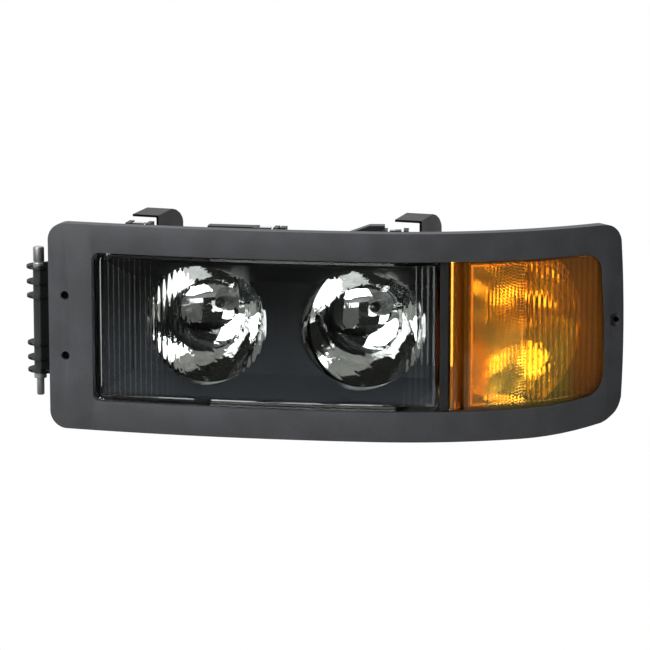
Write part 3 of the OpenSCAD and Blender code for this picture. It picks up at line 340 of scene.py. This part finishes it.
# Heat-proof lacquer on the tip: black, with a soft gloss
tip_black = moulded("black tip lacquer", "#060607", "#101011", 0.3, 1.0 * MM, 0.005 * MM)


def dome(r, start):
    """Rings of a round end toward -Y of radius r that begins at start, from its rim to its pole."""
    turns = [math.pi / 2 * i / DOME_RINGS for i in range(DOME_RINGS + 1)]
    return [(max(r * math.cos(a), 0.1 * MM), start - r * math.sin(a)) for a in turns]


def bulb(name, centre, r, start, foot, wall):
    """A hollow glass bulb along Y whose round end begins at start and whose foot is at foot."""
    inside = dome(r - wall, start)[::-1] + [(r - wall, foot)]
    outside = [(r, foot)] + dome(r, start)
    return turned(name, centre, "Y", inside + outside, BULB_STEPS)


for beam, x in (("high", HIGH_X), ("low", LOW_X)):
    seat = (x, VERTEX[beam] + SEAT_GAP, BULB_Z)
    glass = bulb(beam + "_capsule", seat, CAPSULE_R, CAPSULE_END, CAPSULE_FOOT, CAPSULE_WALL)
    rim = [(TIP_INNER_R, CAPSULE_END), (TIP_R, CAPSULE_END)]
    tip = turned(beam + "_tip", seat, "Y", rim + dome(TIP_R, TIP_END), BULB_STEPS)
    coil = [(COIL_R[i % 2], (COIL_Y + COIL_PITCH * i) * MM) for i in range(COIL_RINGS)]
    filament = turned(beam + "_filament", seat, "Y", coil, COIL_STEPS)
    paint(quartz, glass)
    paint(tip_black, tip)
    paint(tungsten, filament)
    for piece, slot in ((glass, "bulb_glass"), (tip, "black_plastic"), (filament, "bulb_metal")):
        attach(piece, "carrier")
    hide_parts(beam + "_bulb_glass")
paint(bulb_steel, "high_bulb_base", "low_bulb_base")
paint(spring_steel, "high_bail", "low_bail")

# Inner bezel: a satin black polycarbonate trough round the two mouths, moulded in one piece.
# It clips to ledges in the housing, behind the glass.
# Satin polycarbonate: painted shade makes it nearly black under the trough's roof, and painted light
# makes it greyer toward its floor
bezel_black = moulded("satin black polycarbonate", "#35383d", "#060707", 0.46, 0.9 * MM, 0.015 * MM,
                      0.15, ("Z", -5 * MM, 95 * MM))
paint(bezel_black, "inner_bezel")
soften("inner_bezel", width=0.6 * MM)

# Glass: a pressed dish of clear soda glass, smooth outside, with upright flutes on the inner face.
# Its flange lies on the rubber cord and steel clips hold it to the housing.
# Seen from above, the lamp's front is a nearly flat arc that runs into a tighter one at the corner
FLAT_R, WRAP_R = 1599.1 * MM, 389.957 * MM
FLAT_C = Vector((18.1 * MM, FLAT_R - 20 * MM))
JOIN_A = math.asin(253.215 * MM / (FLAT_R - WRAP_R))
WRAP_C = FLAT_C + (FLAT_R - WRAP_R) * Vector((math.sin(JOIN_A), -math.cos(JOIN_A)))


def depth_y(x, depth):
    """Where a surface that lies depth behind the lamp's front is at x."""
    join_x = FLAT_C.x + (FLAT_R - depth) * math.sin(JOIN_A)
    centre, r = (FLAT_C, FLAT_R) if x < join_x else (WRAP_C, WRAP_R)
    return centre.y - math.sqrt((r - depth) ** 2 - (x - centre.x) ** 2)


def round_corner(x, z, box, corner):
    """Draws a point of a rectangle in so that the rectangle's corners become round."""
    cx = min(max(x, box[0] + corner), box[1] - corner)
    cz = min(max(z, box[2] + corner), box[3] - corner)
    dx, dz = x - cx, z - cz
    far = math.hypot(dx, dz)
    if far == 0:
        return x, z
    pull = max(abs(dx), abs(dz)) / far
    return cx + dx * pull, cz + dz * pull


def inset_box(box, by):
    """A box with its four sides drawn in."""
    return [box[0] + by, box[1] - by, box[2] + by, box[3] - by]


def upright_grid(name, box, columns, rows):
    """A flat grid standing in the XZ plane."""
    bpy.ops.object.select_all(action="DESELECT")
    bpy.ops.mesh.primitive_grid_add(x_subdivisions=columns, y_subdivisions=rows, size=1,
                                    location=((box[0] + box[1]) / 2, 0, (box[2] + box[3]) / 2),
                                    rotation=(math.pi / 2, 0, 0))
    piece = bpy.context.object
    piece.name = piece.data.name = name
    piece.scale = (box[1] - box[0], box[3] - box[2], 1)
    bpy.ops.object.transform_apply(location=True, rotation=True, scale=True)
    return piece


def edit_rim():
    """Opens the new sheet in edit mode with only its rim selected."""
    bpy.ops.object.mode_set(mode="EDIT")
    bpy.ops.mesh.select_all(action="SELECT")
    bpy.ops.mesh.region_to_loop()


def close_lens(shell, face):
    """Joins a lens's inner face to its outer shell and closes the gap between their rims."""
    bpy.ops.object.select_all(action="DESELECT")
    face.select_set(True)
    shell.select_set(True)
    bpy.context.view_layer.objects.active = shell
    bpy.ops.object.join()
    bpy.ops.object.mode_set(mode="EDIT")
    bpy.ops.mesh.select_all(action="DESELECT")
    bpy.ops.mesh.select_non_manifold(extend=False, use_wire=False, use_boundary=True,
                                     use_multi_face=False, use_non_contiguous=False, use_verts=False)
    bpy.ops.mesh.bridge_edge_loops()
    bpy.ops.object.mode_set(mode="OBJECT")
    finish_mesh(shell, 30)


def ease(x, low, high):
    """0 up to low, 1 from high on, and a smooth rise between."""
    t = min(max((x - low) / (high - low), 0), 1)
    return t * t * (3 - 2 * t)


def wave(x, pitch):
    """Round flutes between 0 and 1."""
    return 0.5 - 0.5 * math.cos(2 * math.pi * x / pitch)


LENS_BOX = [65.7 * MM, 413.8 * MM, -15.9 * MM, 136.1 * MM]
LENS_CORNER = 8 * MM
LENS_T, LENS_D, SKIRT_D, FLANGE_D, FLANGE_W = 4 * MM, 5 * MM, 19 * MM, 15 * MM, 8 * MM
FLUTE, LINE = 5.6 * MM, 1.9 * MM
LEFT_CUT, MID_CUT, RIGHT_CUT, LINE_CUT = 0.42 * MM, 0.16 * MM, 0.3 * MM, 0.012 * MM


def flute_depth(x):
    """How far the inner face is cut at x: broad flutes at the ends and middle, fine lines between."""
    broad = LEFT_CUT * (1 - ease(x, 122 * MM, 182 * MM))
    broad += MID_CUT * ease(x, 202 * MM, 222 * MM) * (1 - ease(x, 258 * MM, 281 * MM))
    broad += RIGHT_CUT * ease(x, 366 * MM, 394 * MM)
    lined = ease(x, 281 * MM, 306 * MM) * (1 - ease(x, 375 * MM, 390 * MM))
    return broad * wave(x, FLUTE) + LINE_CUT * wave(x, LINE) * lined


lens = upright_grid("glass_fluted", LENS_BOX, 120, 40)
for v in lens.data.vertices:
    x, z = round_corner(v.co.x, v.co.z, LENS_BOX, LENS_CORNER)
    v.co = (x, depth_y(x, LENS_D), z)
edit_rim()
for out, depth in ((0, FLANGE_D), (FLANGE_W, FLANGE_D), (FLANGE_W, SKIRT_D), (-LENS_T, SKIRT_D)):
    bpy.ops.mesh.extrude_edges_move(TRANSFORM_OT_translate={"value": (0, 0, 0)})
    shell = bmesh.from_edit_mesh(lens.data)
    box = inset_box(LENS_BOX, -out)
    mid_x, mid_z = (box[0] + box[1]) / 2, (box[2] + box[3]) / 2
    ring = [v for v in shell.verts if v.select]
    now = [max(v.co.x for v in ring), min(v.co.x for v in ring),
           max(v.co.z for v in ring), min(v.co.z for v in ring)]
    wide = (box[1] - box[0]) / (now[0] - now[1])
    tall = (box[3] - box[2]) / (now[2] - now[3])
    for v in ring:
        x = mid_x + (v.co.x - (now[0] + now[1]) / 2) * wide
        z = mid_z + (v.co.z - (now[2] + now[3]) / 2) * tall
        v.co = (x, depth_y(x, depth), z)
    bmesh.update_edit_mesh(lens.data)
bpy.ops.object.mode_set(mode="OBJECT")
INNER_BOX = inset_box(LENS_BOX, LENS_T)
inner = upright_grid("glass_inner", INNER_BOX, 560, 24)
for v in inner.data.vertices:
    x, z = round_corner(v.co.x, v.co.z, INNER_BOX, LENS_CORNER - LENS_T)
    v.co = (x, depth_y(x, LENS_D + LENS_T) - flute_depth(x), z)
close_lens(lens, inner)
# Soda glass: clear, faintly green, fire-polished outside
soda_glass = new_material("soda glass", {
    "Base Color": linear("#f6f9f8"), "Roughness": 0.0, "IOR": 1.5, "Transmission Weight": 1.0})[0]
paint(soda_glass, lens)
paint(spring_steel, "lens_clips")
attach(lens, "lamp")
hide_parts("main_lens")

# Divider: a black nylon strip with a diamond-knurled face, over the joint of glass and indicator.
# It is clipped between the two lenses.
DIVIDER = [414.3 * MM, 421.9 * MM, -15.9 * MM, 136.1 * MM]
DIVIDER_D, DIVIDER_T, DIAMOND, DIAMOND_CUT = 5.7 * MM, 9 * MM, 2.5 * MM, 0.6 * MM


def ridge(t):
    """A zigzag between 0 and 1 with a period of 1."""
    return abs(2 * (t % 1) - 1)


def back_up(piece, thickness, smooth_angle=40):
    """Gives a standing sheet its sides and its back."""
    edit_rim()
    bpy.ops.mesh.extrude_edges_move(TRANSFORM_OT_translate={"value": (0, thickness, 0)})
    bpy.ops.mesh.edge_face_add()
    bpy.ops.object.mode_set(mode="OBJECT")
    finish_mesh(piece, smooth_angle)


# Glass-filled nylon: black, dull, with a slightly mottled skin
nylon = moulded("black glass-filled nylon", "#131415", "#232426", 0.48, 1.4 * MM, 0.06 * MM)
divider = upright_grid("divider_knurled", DIVIDER, 16, 304)
for v in divider.data.vertices:
    x, z = v.co.x, v.co.z
    knurl = min(ridge((x + z) / DIAMOND), ridge((x - z) / DIAMOND))
    v.co.y = depth_y(x, DIVIDER_D) - DIAMOND_CUT * knurl
back_up(divider, DIVIDER_T, 15)
paint(nylon, divider)
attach(divider, "lamp")
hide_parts("divider_strip")

# Indicator: an amber acrylic lens, fluted inside, with a plain strip and a groove by the divider.
# It is welded to a black housing with its own mirror; the bulb twists in from behind.
OPENING = [64.7 * MM, 560.2 * MM, -16.9 * MM, 137.1 * MM]
SWEEP_X, SWEEP_R, LEAN, LEAN_Z = 490.1 * MM, 260 * MM, 2.7 * MM, 67 * MM
TOP_R, LOW_R = Vector((13 * MM, 18 * MM)), Vector((14 * MM, 26 * MM))
AMBER_X0, AMBER_X1 = 423.9 * MM, 436.9 * MM
AMBER_BULB = Vector((473.3 * MM, 69 * MM))
END_GAP = 0.4 * MM
UNIT = [0, 1, 0, 1]


def amber_span(x, inset):
    """Lower and upper end of the frame's opening at x, drawn in by inset."""
    off = Vector((inset, inset))
    right, low, high = OPENING[1] - inset, OPENING[2] + inset, OPENING[3] - inset
    top_r, low_r, sweep = TOP_R - off, LOW_R - off, SWEEP_R - inset
    s = (right - low_r.x - SWEEP_X) / sweep
    corner = Vector((right - low_r.x, low + sweep - sweep * math.sqrt(1 - s * s)))
    over = (x - (right - LEAN - top_r.x)) / top_r.x
    if over > 1:
        down = (x - (right - LEAN)) / LEAN
        high += (LEAN_Z - high + top_r.y) * down - top_r.y
    elif over > 0:
        high -= top_r.y * (1 - math.sqrt(1 - over * over))
    if x > corner.x:
        t = s + (x - corner.x) / low_r.x * (1 - s)
        low = corner.y + low_r.y * (1 - math.sqrt(max(1 - t * t, 0)) / math.sqrt(1 - s * s))
    elif x > SWEEP_X:
        low += sweep - math.sqrt(sweep ** 2 - (x - SWEEP_X) ** 2)
    return low, high


def amber_point(c, t, left, inset):
    """The point at the shares c across and t up of the indicator's outline."""
    x = left + c * (OPENING[1] - inset - END_GAP - left)
    low, high = amber_span(x, inset)
    return x, low + t * (high - low)


# Across the inner face: small diamonds, a plain line, a fan of short prisms, then upright flutes
GEM_X, FAN_X, FLUTES_X, FAN_W, FAN_RISE = 456 * MM, 457.5 * MM, 490 * MM, 33 * MM, 26 * MM
GEM, PRISM, AMBER_FLUTE = 2.6 * MM, 3.1 * MM, 4.6 * MM
GEM_CUT, PRISM_CUT, FLUTE_CUT = 0.5 * MM, 0.7 * MM, 0.85 * MM
# A cut's depth, as a share of these, sets how much painted shade the amber gets there
DARK_PRISM, DARK_FLUTE = 0.6 * MM, 1.9 * MM  # a cut this deep counts as fully dark


def amber_relief(x, z):
    """How far the inner face is cut at a point."""
    up = abs(z - AMBER_BULB.y)
    if x < GEM_X:
        return GEM_CUT * ridge((x + up) / GEM) * ridge((x - up) / GEM)
    if x < FAN_X:
        return 0.0
    if x < FLUTES_X:
        lie = (FLUTES_X - x) / FAN_W
        return PRISM_CUT * (ridge((up - FAN_RISE * lie * lie) / PRISM) * ridge(x / PRISM))
    return FLUTE_CUT * wave(x - FLUTES_X, AMBER_FLUTE)


AMBER_D, INNER_D, RIM_D, BACK_D = 5 * MM, 8 * MM, 16 * MM, 19 * MM
FACE_GAP, LIP, INNER_GAP, INNER_X = 1 * MM, -5 * MM, 3.5 * MM, AMBER_X1 + 3 * MM
amber_lens = upright_grid("amber_fluted", UNIT, 60, 40)
share = amber_lens.data.attributes.new("share", "FLOAT_VECTOR", "POINT")
for v in amber_lens.data.vertices:
    share.data[v.index].vector = v.co
    x, z = amber_point(v.co.x, v.co.z, AMBER_X1, FACE_GAP)
    v.co = (x, depth_y(x, AMBER_D), z)
edit_rim()
for left, inset, depth in ((AMBER_X1, FACE_GAP, RIM_D), (AMBER_X0, LIP, RIM_D),
                           (AMBER_X0, LIP, BACK_D), (INNER_X, INNER_GAP, BACK_D)):
    bpy.ops.mesh.extrude_edges_move(TRANSFORM_OT_translate={"value": (0, 0, 0)})
    shell = bmesh.from_edit_mesh(amber_lens.data)
    kept = shell.verts.layers.float_vector["share"]
    for v in shell.verts:
        if v.select:
            x, z = amber_point(v[kept].x, v[kept].z, left, inset)
            v.co = (x, depth_y(x, depth), z)
    bmesh.update_edit_mesh(amber_lens.data)
bpy.ops.object.mode_set(mode="OBJECT")
amber_inner = upright_grid("amber_inner", UNIT, 240, 240)
rib = amber_inner.data.attributes.new("rib", "FLOAT", "POINT")
for v in amber_inner.data.vertices:
    x, z = amber_point(v.co.x, v.co.z, INNER_X, INNER_GAP)
    cut = amber_relief(x, z)
    # The rib value carries each cut's painted shade to the amber's colour
    rib.data[v.index].value = cut / (DARK_PRISM if x < FLUTES_X else DARK_FLUTE)
    v.co = (x, depth_y(x, INNER_D) - cut, z)
close_lens(amber_lens, amber_inner)

STRIP = [AMBER_X0, AMBER_X0 + 7.4 * MM, -15.9 * MM, 136.1 * MM]
STRIP_D, STRIP_T = 5.02 * MM, 10.6 * MM
strip = upright_grid("amber_strip", STRIP, 8, 40)
for v in strip.data.vertices:
    v.co.y = depth_y(v.co.x, STRIP_D)
back_up(strip, STRIP_T)
edge = strip.modifiers.new("edge", "BEVEL")
edge.width, edge.segments, edge.limit_method = 0.7 * MM, 3, "ANGLE"
bpy.ops.object.modifier_apply(modifier="edge")

# Amber acrylic: glossy, and tints twice what the mirror throws back. Painted light makes it paler low
# in the middle, and painted shade makes it deeper above and at the sides and darker in the prisms and
# flutes
amber, tree, shader = new_material("amber acrylic", {
    "Roughness": 0.0, "IOR": 1.49, "Transmission Weight": 0.93})
# Share of painted shade: 0 low in the middle, rising to 1 above and toward both sides
height = share_along(tree, "Z", 40 * MM, 80 * MM)
aside = share_along(tree, "X", 30 * MM, 42 * MM, 495 * MM)
painted_shade_share = add_node(tree, "ShaderNodeMath", {0: height, 1: aside}, operation="MAXIMUM")
pale = shades(tree, painted_shade_share.outputs[0], "#ffe272", "#f8b243", (0, 1))
cuts = add_node(tree, "ShaderNodeAttribute", attribute_name="rib").outputs["Fac"]
dark = add_node(tree, "ShaderNodeMapRange", {"Value": cuts}, {"From Min": 0.15, "From Max": 0.55})
tint_with_painted_shade = add_node(tree, "ShaderNodeMix", {0: dark.outputs["Result"], 6: pale},
                {7: linear("#8a4010")}, data_type="RGBA")
tree.links.new(tint_with_painted_shade.outputs[2], shader.inputs["Base Color"])
paint(amber, amber_lens, strip)
for piece in (amber_lens, strip):
    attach(piece, "lamp")
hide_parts("indicator_lens")
paint(polypropylene, "indicator_housing")
paint(rubber, "indicator_seal")
paint(zinc, "indicator_screws")

CUP_Y, CUP_FOCAL, CUP_HOLE = 162.45 * MM, 28 * MM, 14.5 * MM
CUP_X, CUP_GAP, CUP_D = AMBER_X1 + 6.7 * MM, 7.2 * MM, 10.3 * MM
amber_mirror = upright_grid("indicator_mirror", UNIT, 90, 110)
for v in amber_mirror.data.vertices:
    x, z = amber_point(v.co.x, v.co.z, CUP_X, CUP_GAP)
    reach = (x - AMBER_BULB.x) ** 2 + (z - AMBER_BULB.y) ** 2
    v.co = (x, CUP_Y - reach / (4 * CUP_FOCAL), z)
bpy.ops.object.mode_set(mode="EDIT")
bpy.ops.mesh.select_all(action="DESELECT")
sheet = bmesh.from_edit_mesh(amber_mirror.data)
for v in sheet.verts:
    middle = math.hypot(v.co.x - AMBER_BULB.x, v.co.z - AMBER_BULB.y) < CUP_HOLE
    v.select = middle or v.co.y < depth_y(v.co.x, CUP_D)
sheet.select_flush_mode()
bmesh.update_edit_mesh(amber_mirror.data)
bpy.ops.mesh.delete(type="VERT")
bpy.ops.object.mode_set(mode="OBJECT")
facing(amber_mirror, (0, -1, 0))
bpy.ops.object.shade_smooth()
# Vacuum aluminium over an unpolished moulding: bright but not sharp
satin_mirror = metal("satin vacuum aluminium", "#e6e6e4", "#f4f4f2", 0.05, 8.0 * MM)
paint(satin_mirror, amber_mirror, "indicator_reflector")
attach(amber_mirror, "lamp")

GLOBE_Y, GLOBE_R, GLOBE_FOOT, GLOBE_WALL = 131 * MM, 12.5 * MM, 17.5 * MM, 0.9 * MM
NECK_Y0, NECK_Y1, NECK_IN = 139 * MM, 147 * MM, 0.46
globe = bulb("indicator_globe", (AMBER_BULB.x, GLOBE_Y, AMBER_BULB.y), GLOBE_R, 0, GLOBE_FOOT,
             GLOBE_WALL)
for v in globe.data.vertices:
    neck = 1 - NECK_IN * ease(v.co.y, NECK_Y0, NECK_Y1)
    v.co.x = AMBER_BULB.x + (v.co.x - AMBER_BULB.x) * neck
    v.co.z = AMBER_BULB.y + (v.co.z - AMBER_BULB.y) * neck
# Tinned brass: dull yellow under a thin bright skin
brass = metal("tinned brass", "#a98f4e", "#cdb878", 0.3, 2.0 * MM)
paint(quartz, globe)
paint(brass, "indicator_bulb_base")
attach(globe, "indicator_holder")
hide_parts("indicator_bulb_glass")

# Grommet: a black rubber plug with a hollow end, moulded in one piece.
# It is pushed from the back of the frame into the outer fixing hole.
GROMMET_AT = (569.2 * MM, 151.9 * MM, 66.8 * MM)
grommet = turned("fixing_grommet", GROMMET_AT, "Y", [
    (2.0 * MM, 3.0 * MM), (2.0 * MM, 0.2 * MM), (4.0 * MM, 0.2 * MM), (4.15 * MM, 0.6 * MM),
    (4.15 * MM, 5.0 * MM), (3.6 * MM, 5.6 * MM)], 40)
paint(rubber, grommet)
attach(grommet, "lamp")

# Brackets: two hooks of bent steel sheet, painted black.
# Each is screwed to the roof of the housing.
# Black paint: deep and even, with a soft gloss
black_paint = moulded("black paint", "#050506", "#0c0c0d", 0.4, 2.0 * MM, 0.01 * MM, 0.12)
paint(black_paint, "bracket_inner", "bracket_outer")
paint(zinc, "bracket_screws")
soften("bracket_inner", "bracket_outer", width=0.5 * MM)

# Back of the lamp: twist caps, levelling motor, loom socket and bulb holder, all dark mouldings.
# The caps and the holder turn to lock, screws hold the motor, and the socket stands on the wall.
paint(polypropylene, "high_cap", "low_cap", "level_motor", "main_connector")
soften("high_cap", "low_cap", "level_motor", "main_connector", "indicator_holder", width=0.5 * MM)
paint(carrier_nylon, "indicator_holder")
paint(rubber, "high_cap_seal", "low_cap_seal", "holder_seal", "breather")
paint(zinc, "level_motor_screws")
paint(brass, "connector_pins")

# Studio: a white floor far below the lamp, two soft boxes and the camera. Cards that the camera does
# not see stand round the lamp: dull ones for the mirrors and the glass to reflect, and bright panels,
# seen only through the lenses, that light the bowls and the amber.


def seen_rays(tree):
    """1 where the camera looks, also by a mirror or through glass, and 0 where light is thrown."""
    rays = add_node(tree, "ShaderNodeLightPath").outputs
    seen = add_node(tree, "ShaderNodeMath", {0: rays["Is Camera Ray"], 1: rays["Is Glossy Ray"]},
                    operation="MAXIMUM")
    return add_node(tree, "ShaderNodeMath", {0: seen.outputs[0], 1: rays["Is Transmission Ray"]},
                    operation="MAXIMUM").outputs[0]


WHITE = linear("#ffffff")
sky = bpy.data.worlds.new("studio")
bpy.context.scene.world = sky
sky.use_nodes = True
tree = sky.node_tree
tree.nodes.clear()
soft = add_node(tree, "ShaderNodeBackground", values={"Color": WHITE, "Strength": 0.3})
white = add_node(tree, "ShaderNodeBackground", values={"Color": WHITE, "Strength": 1.0})
mixed = add_node(tree, "ShaderNodeMixShader",
                 {0: seen_rays(tree), 1: soft.outputs[0], 2: white.outputs[0]})
add_node(tree, "ShaderNodeOutputWorld", {"Surface": mixed.outputs[0]})

FLOOR_Z = -0.6
bpy.ops.object.select_all(action="DESELECT")
bpy.ops.mesh.primitive_plane_add(size=30, location=(0.3, 0, FLOOR_Z))
floor = bpy.context.object
floor.name = "floor"
floor_paint, tree, shader = new_material("white floor", {
    "Base Color": linear("#f2f2f2"), "Roughness": 0.8})
glow = add_node(tree, "ShaderNodeEmission", values={"Color": WHITE, "Strength": 1.0})
mixed = add_node(tree, "ShaderNodeMixShader",
                 {0: seen_rays(tree), 1: shader.outputs[0], 2: glow.outputs[0]})
tree.links.new(mixed.outputs[0], tree.nodes["Material Output"].inputs["Surface"])
paint(floor_paint, floor)


def soft_box(name, at, aim, size, power):
    """A soft box that points at a place on the lamp."""
    bpy.ops.object.light_add(type="AREA", location=at)
    box = bpy.context.object
    box.name = name
    box.data.shape = "RECTANGLE"
    box.data.size, box.data.size_y = size
    box.data.energy = power
    box.rotation_mode = "QUATERNION"
    box.rotation_quaternion = (Vector(aim) - Vector(at)).to_track_quat("-Z", "Y")


def card(name, at, aim, size, code, strength=1.0):
    """A flat card for mirrors and glass; one brighter than white is seen through the lenses only."""
    bpy.ops.mesh.primitive_plane_add(size=1, location=at)
    flat = bpy.context.object
    flat.name = name
    flat.rotation_mode = "QUATERNION"
    flat.rotation_quaternion = (Vector(aim) - Vector(at)).to_track_quat("Z", "Y")
    flat.scale = (size[0], size[1], 1)
    made, tree, shader = new_material(name, {})
    tree.nodes.remove(shader)
    glow = add_node(tree, "ShaderNodeEmission", values={"Color": linear(code), "Strength": strength})
    tree.links.new(glow.outputs[0], tree.nodes["Material Output"].inputs["Surface"])
    paint(made, flat)
    flat.visible_camera = flat.visible_diffuse = flat.visible_shadow = False
    flat.visible_glossy = strength <= 1


MIDDLE = (0.3, 0.05, 0.06)
soft_box("key", (-0.6, -1.8, 1.0), MIDDLE, (0.8, 0.8), 26)
soft_box("top", (-0.4, -0.6, 1.8), MIDDLE, (1.8, 1.0), 24)
card("front card", (0.3, -2.3, 0.9), (0.3, 0, 0.9), (7.0, 3.2), "#2a2b29")
card("right card", (2.6, -0.6, 0.6), (0.3, 0, 0.3), (3.5, 2.6), "#6a6a68")
card("floor card", (0.4, -0.9, -0.58), (0.4, -0.9, 1), (4.5, 2.7), "#8c8c8a")
card("near floor", (0.1, 0, -0.56), (0.1, 0, 1), (0.8, 0.7), "#2a2b29")
card("far floor", (1.3, -1.7, -0.55), (1.3, -1.7, 1), (1.8, 1.0), "#a8a8a6")
card("left panel", (-0.5, -2.05, 0.5), (0.2, 0, 0.2), (0.8, 0.8), "#bcbcb8")
card("front panel", (0.42, -2.0, 0.61), (0.42, 0, 0.61), (1.0, 0.6), "#ffffff", 3.0)
card("side panel", (0.75, -1.95, 0.15), (0.75, 0, 0.15), (0.5, 0.5), "#ffffff", 1.2)
card("floor panel", (1.1, -0.25, -0.54), (1.1, -0.25, 1), (1.2, 1.3), "#ffffff", 12.0)
card("right panel", (2.4, -1.55, -0.27), (0.5, 0, 0), (1.3, 0.5), "#ffffff", 2.5)
card("back floor", (1.7, 1.65, -0.57), (1.7, 1.65, 1), (2.6, 2.4), "#2a2b29")
card("end card", (2.4, 1.9, 0.5), (0.5, 0, 0.1), (2.6, 2.6), "#1a1a1a")

AZIMUTH, ELEVATION, DISTANCE = math.radians(17.5), math.radians(11.6), 3.6
TARGET = Vector((0.3043, 0.0063, 0.0722))
SENSOR, VIEW_WIDTH = 36, 0.65  # mm, and metres across the picture at the target
back = Vector((math.sin(AZIMUTH) * math.cos(ELEVATION), -math.cos(AZIMUTH) * math.cos(ELEVATION),
               math.sin(ELEVATION)))
bpy.ops.object.camera_add(location=TARGET + DISTANCE * back)
camera = bpy.context.object
camera.data.sensor_width = SENSOR
camera.data.lens = SENSOR * DISTANCE / VIEW_WIDTH
camera.rotation_mode = "QUATERNION"
camera.rotation_quaternion = (-back).to_track_quat("-Z", "Y")
bpy.context.scene.camera = camera
bpy.context.scene.view_settings.view_transform = "Standard"
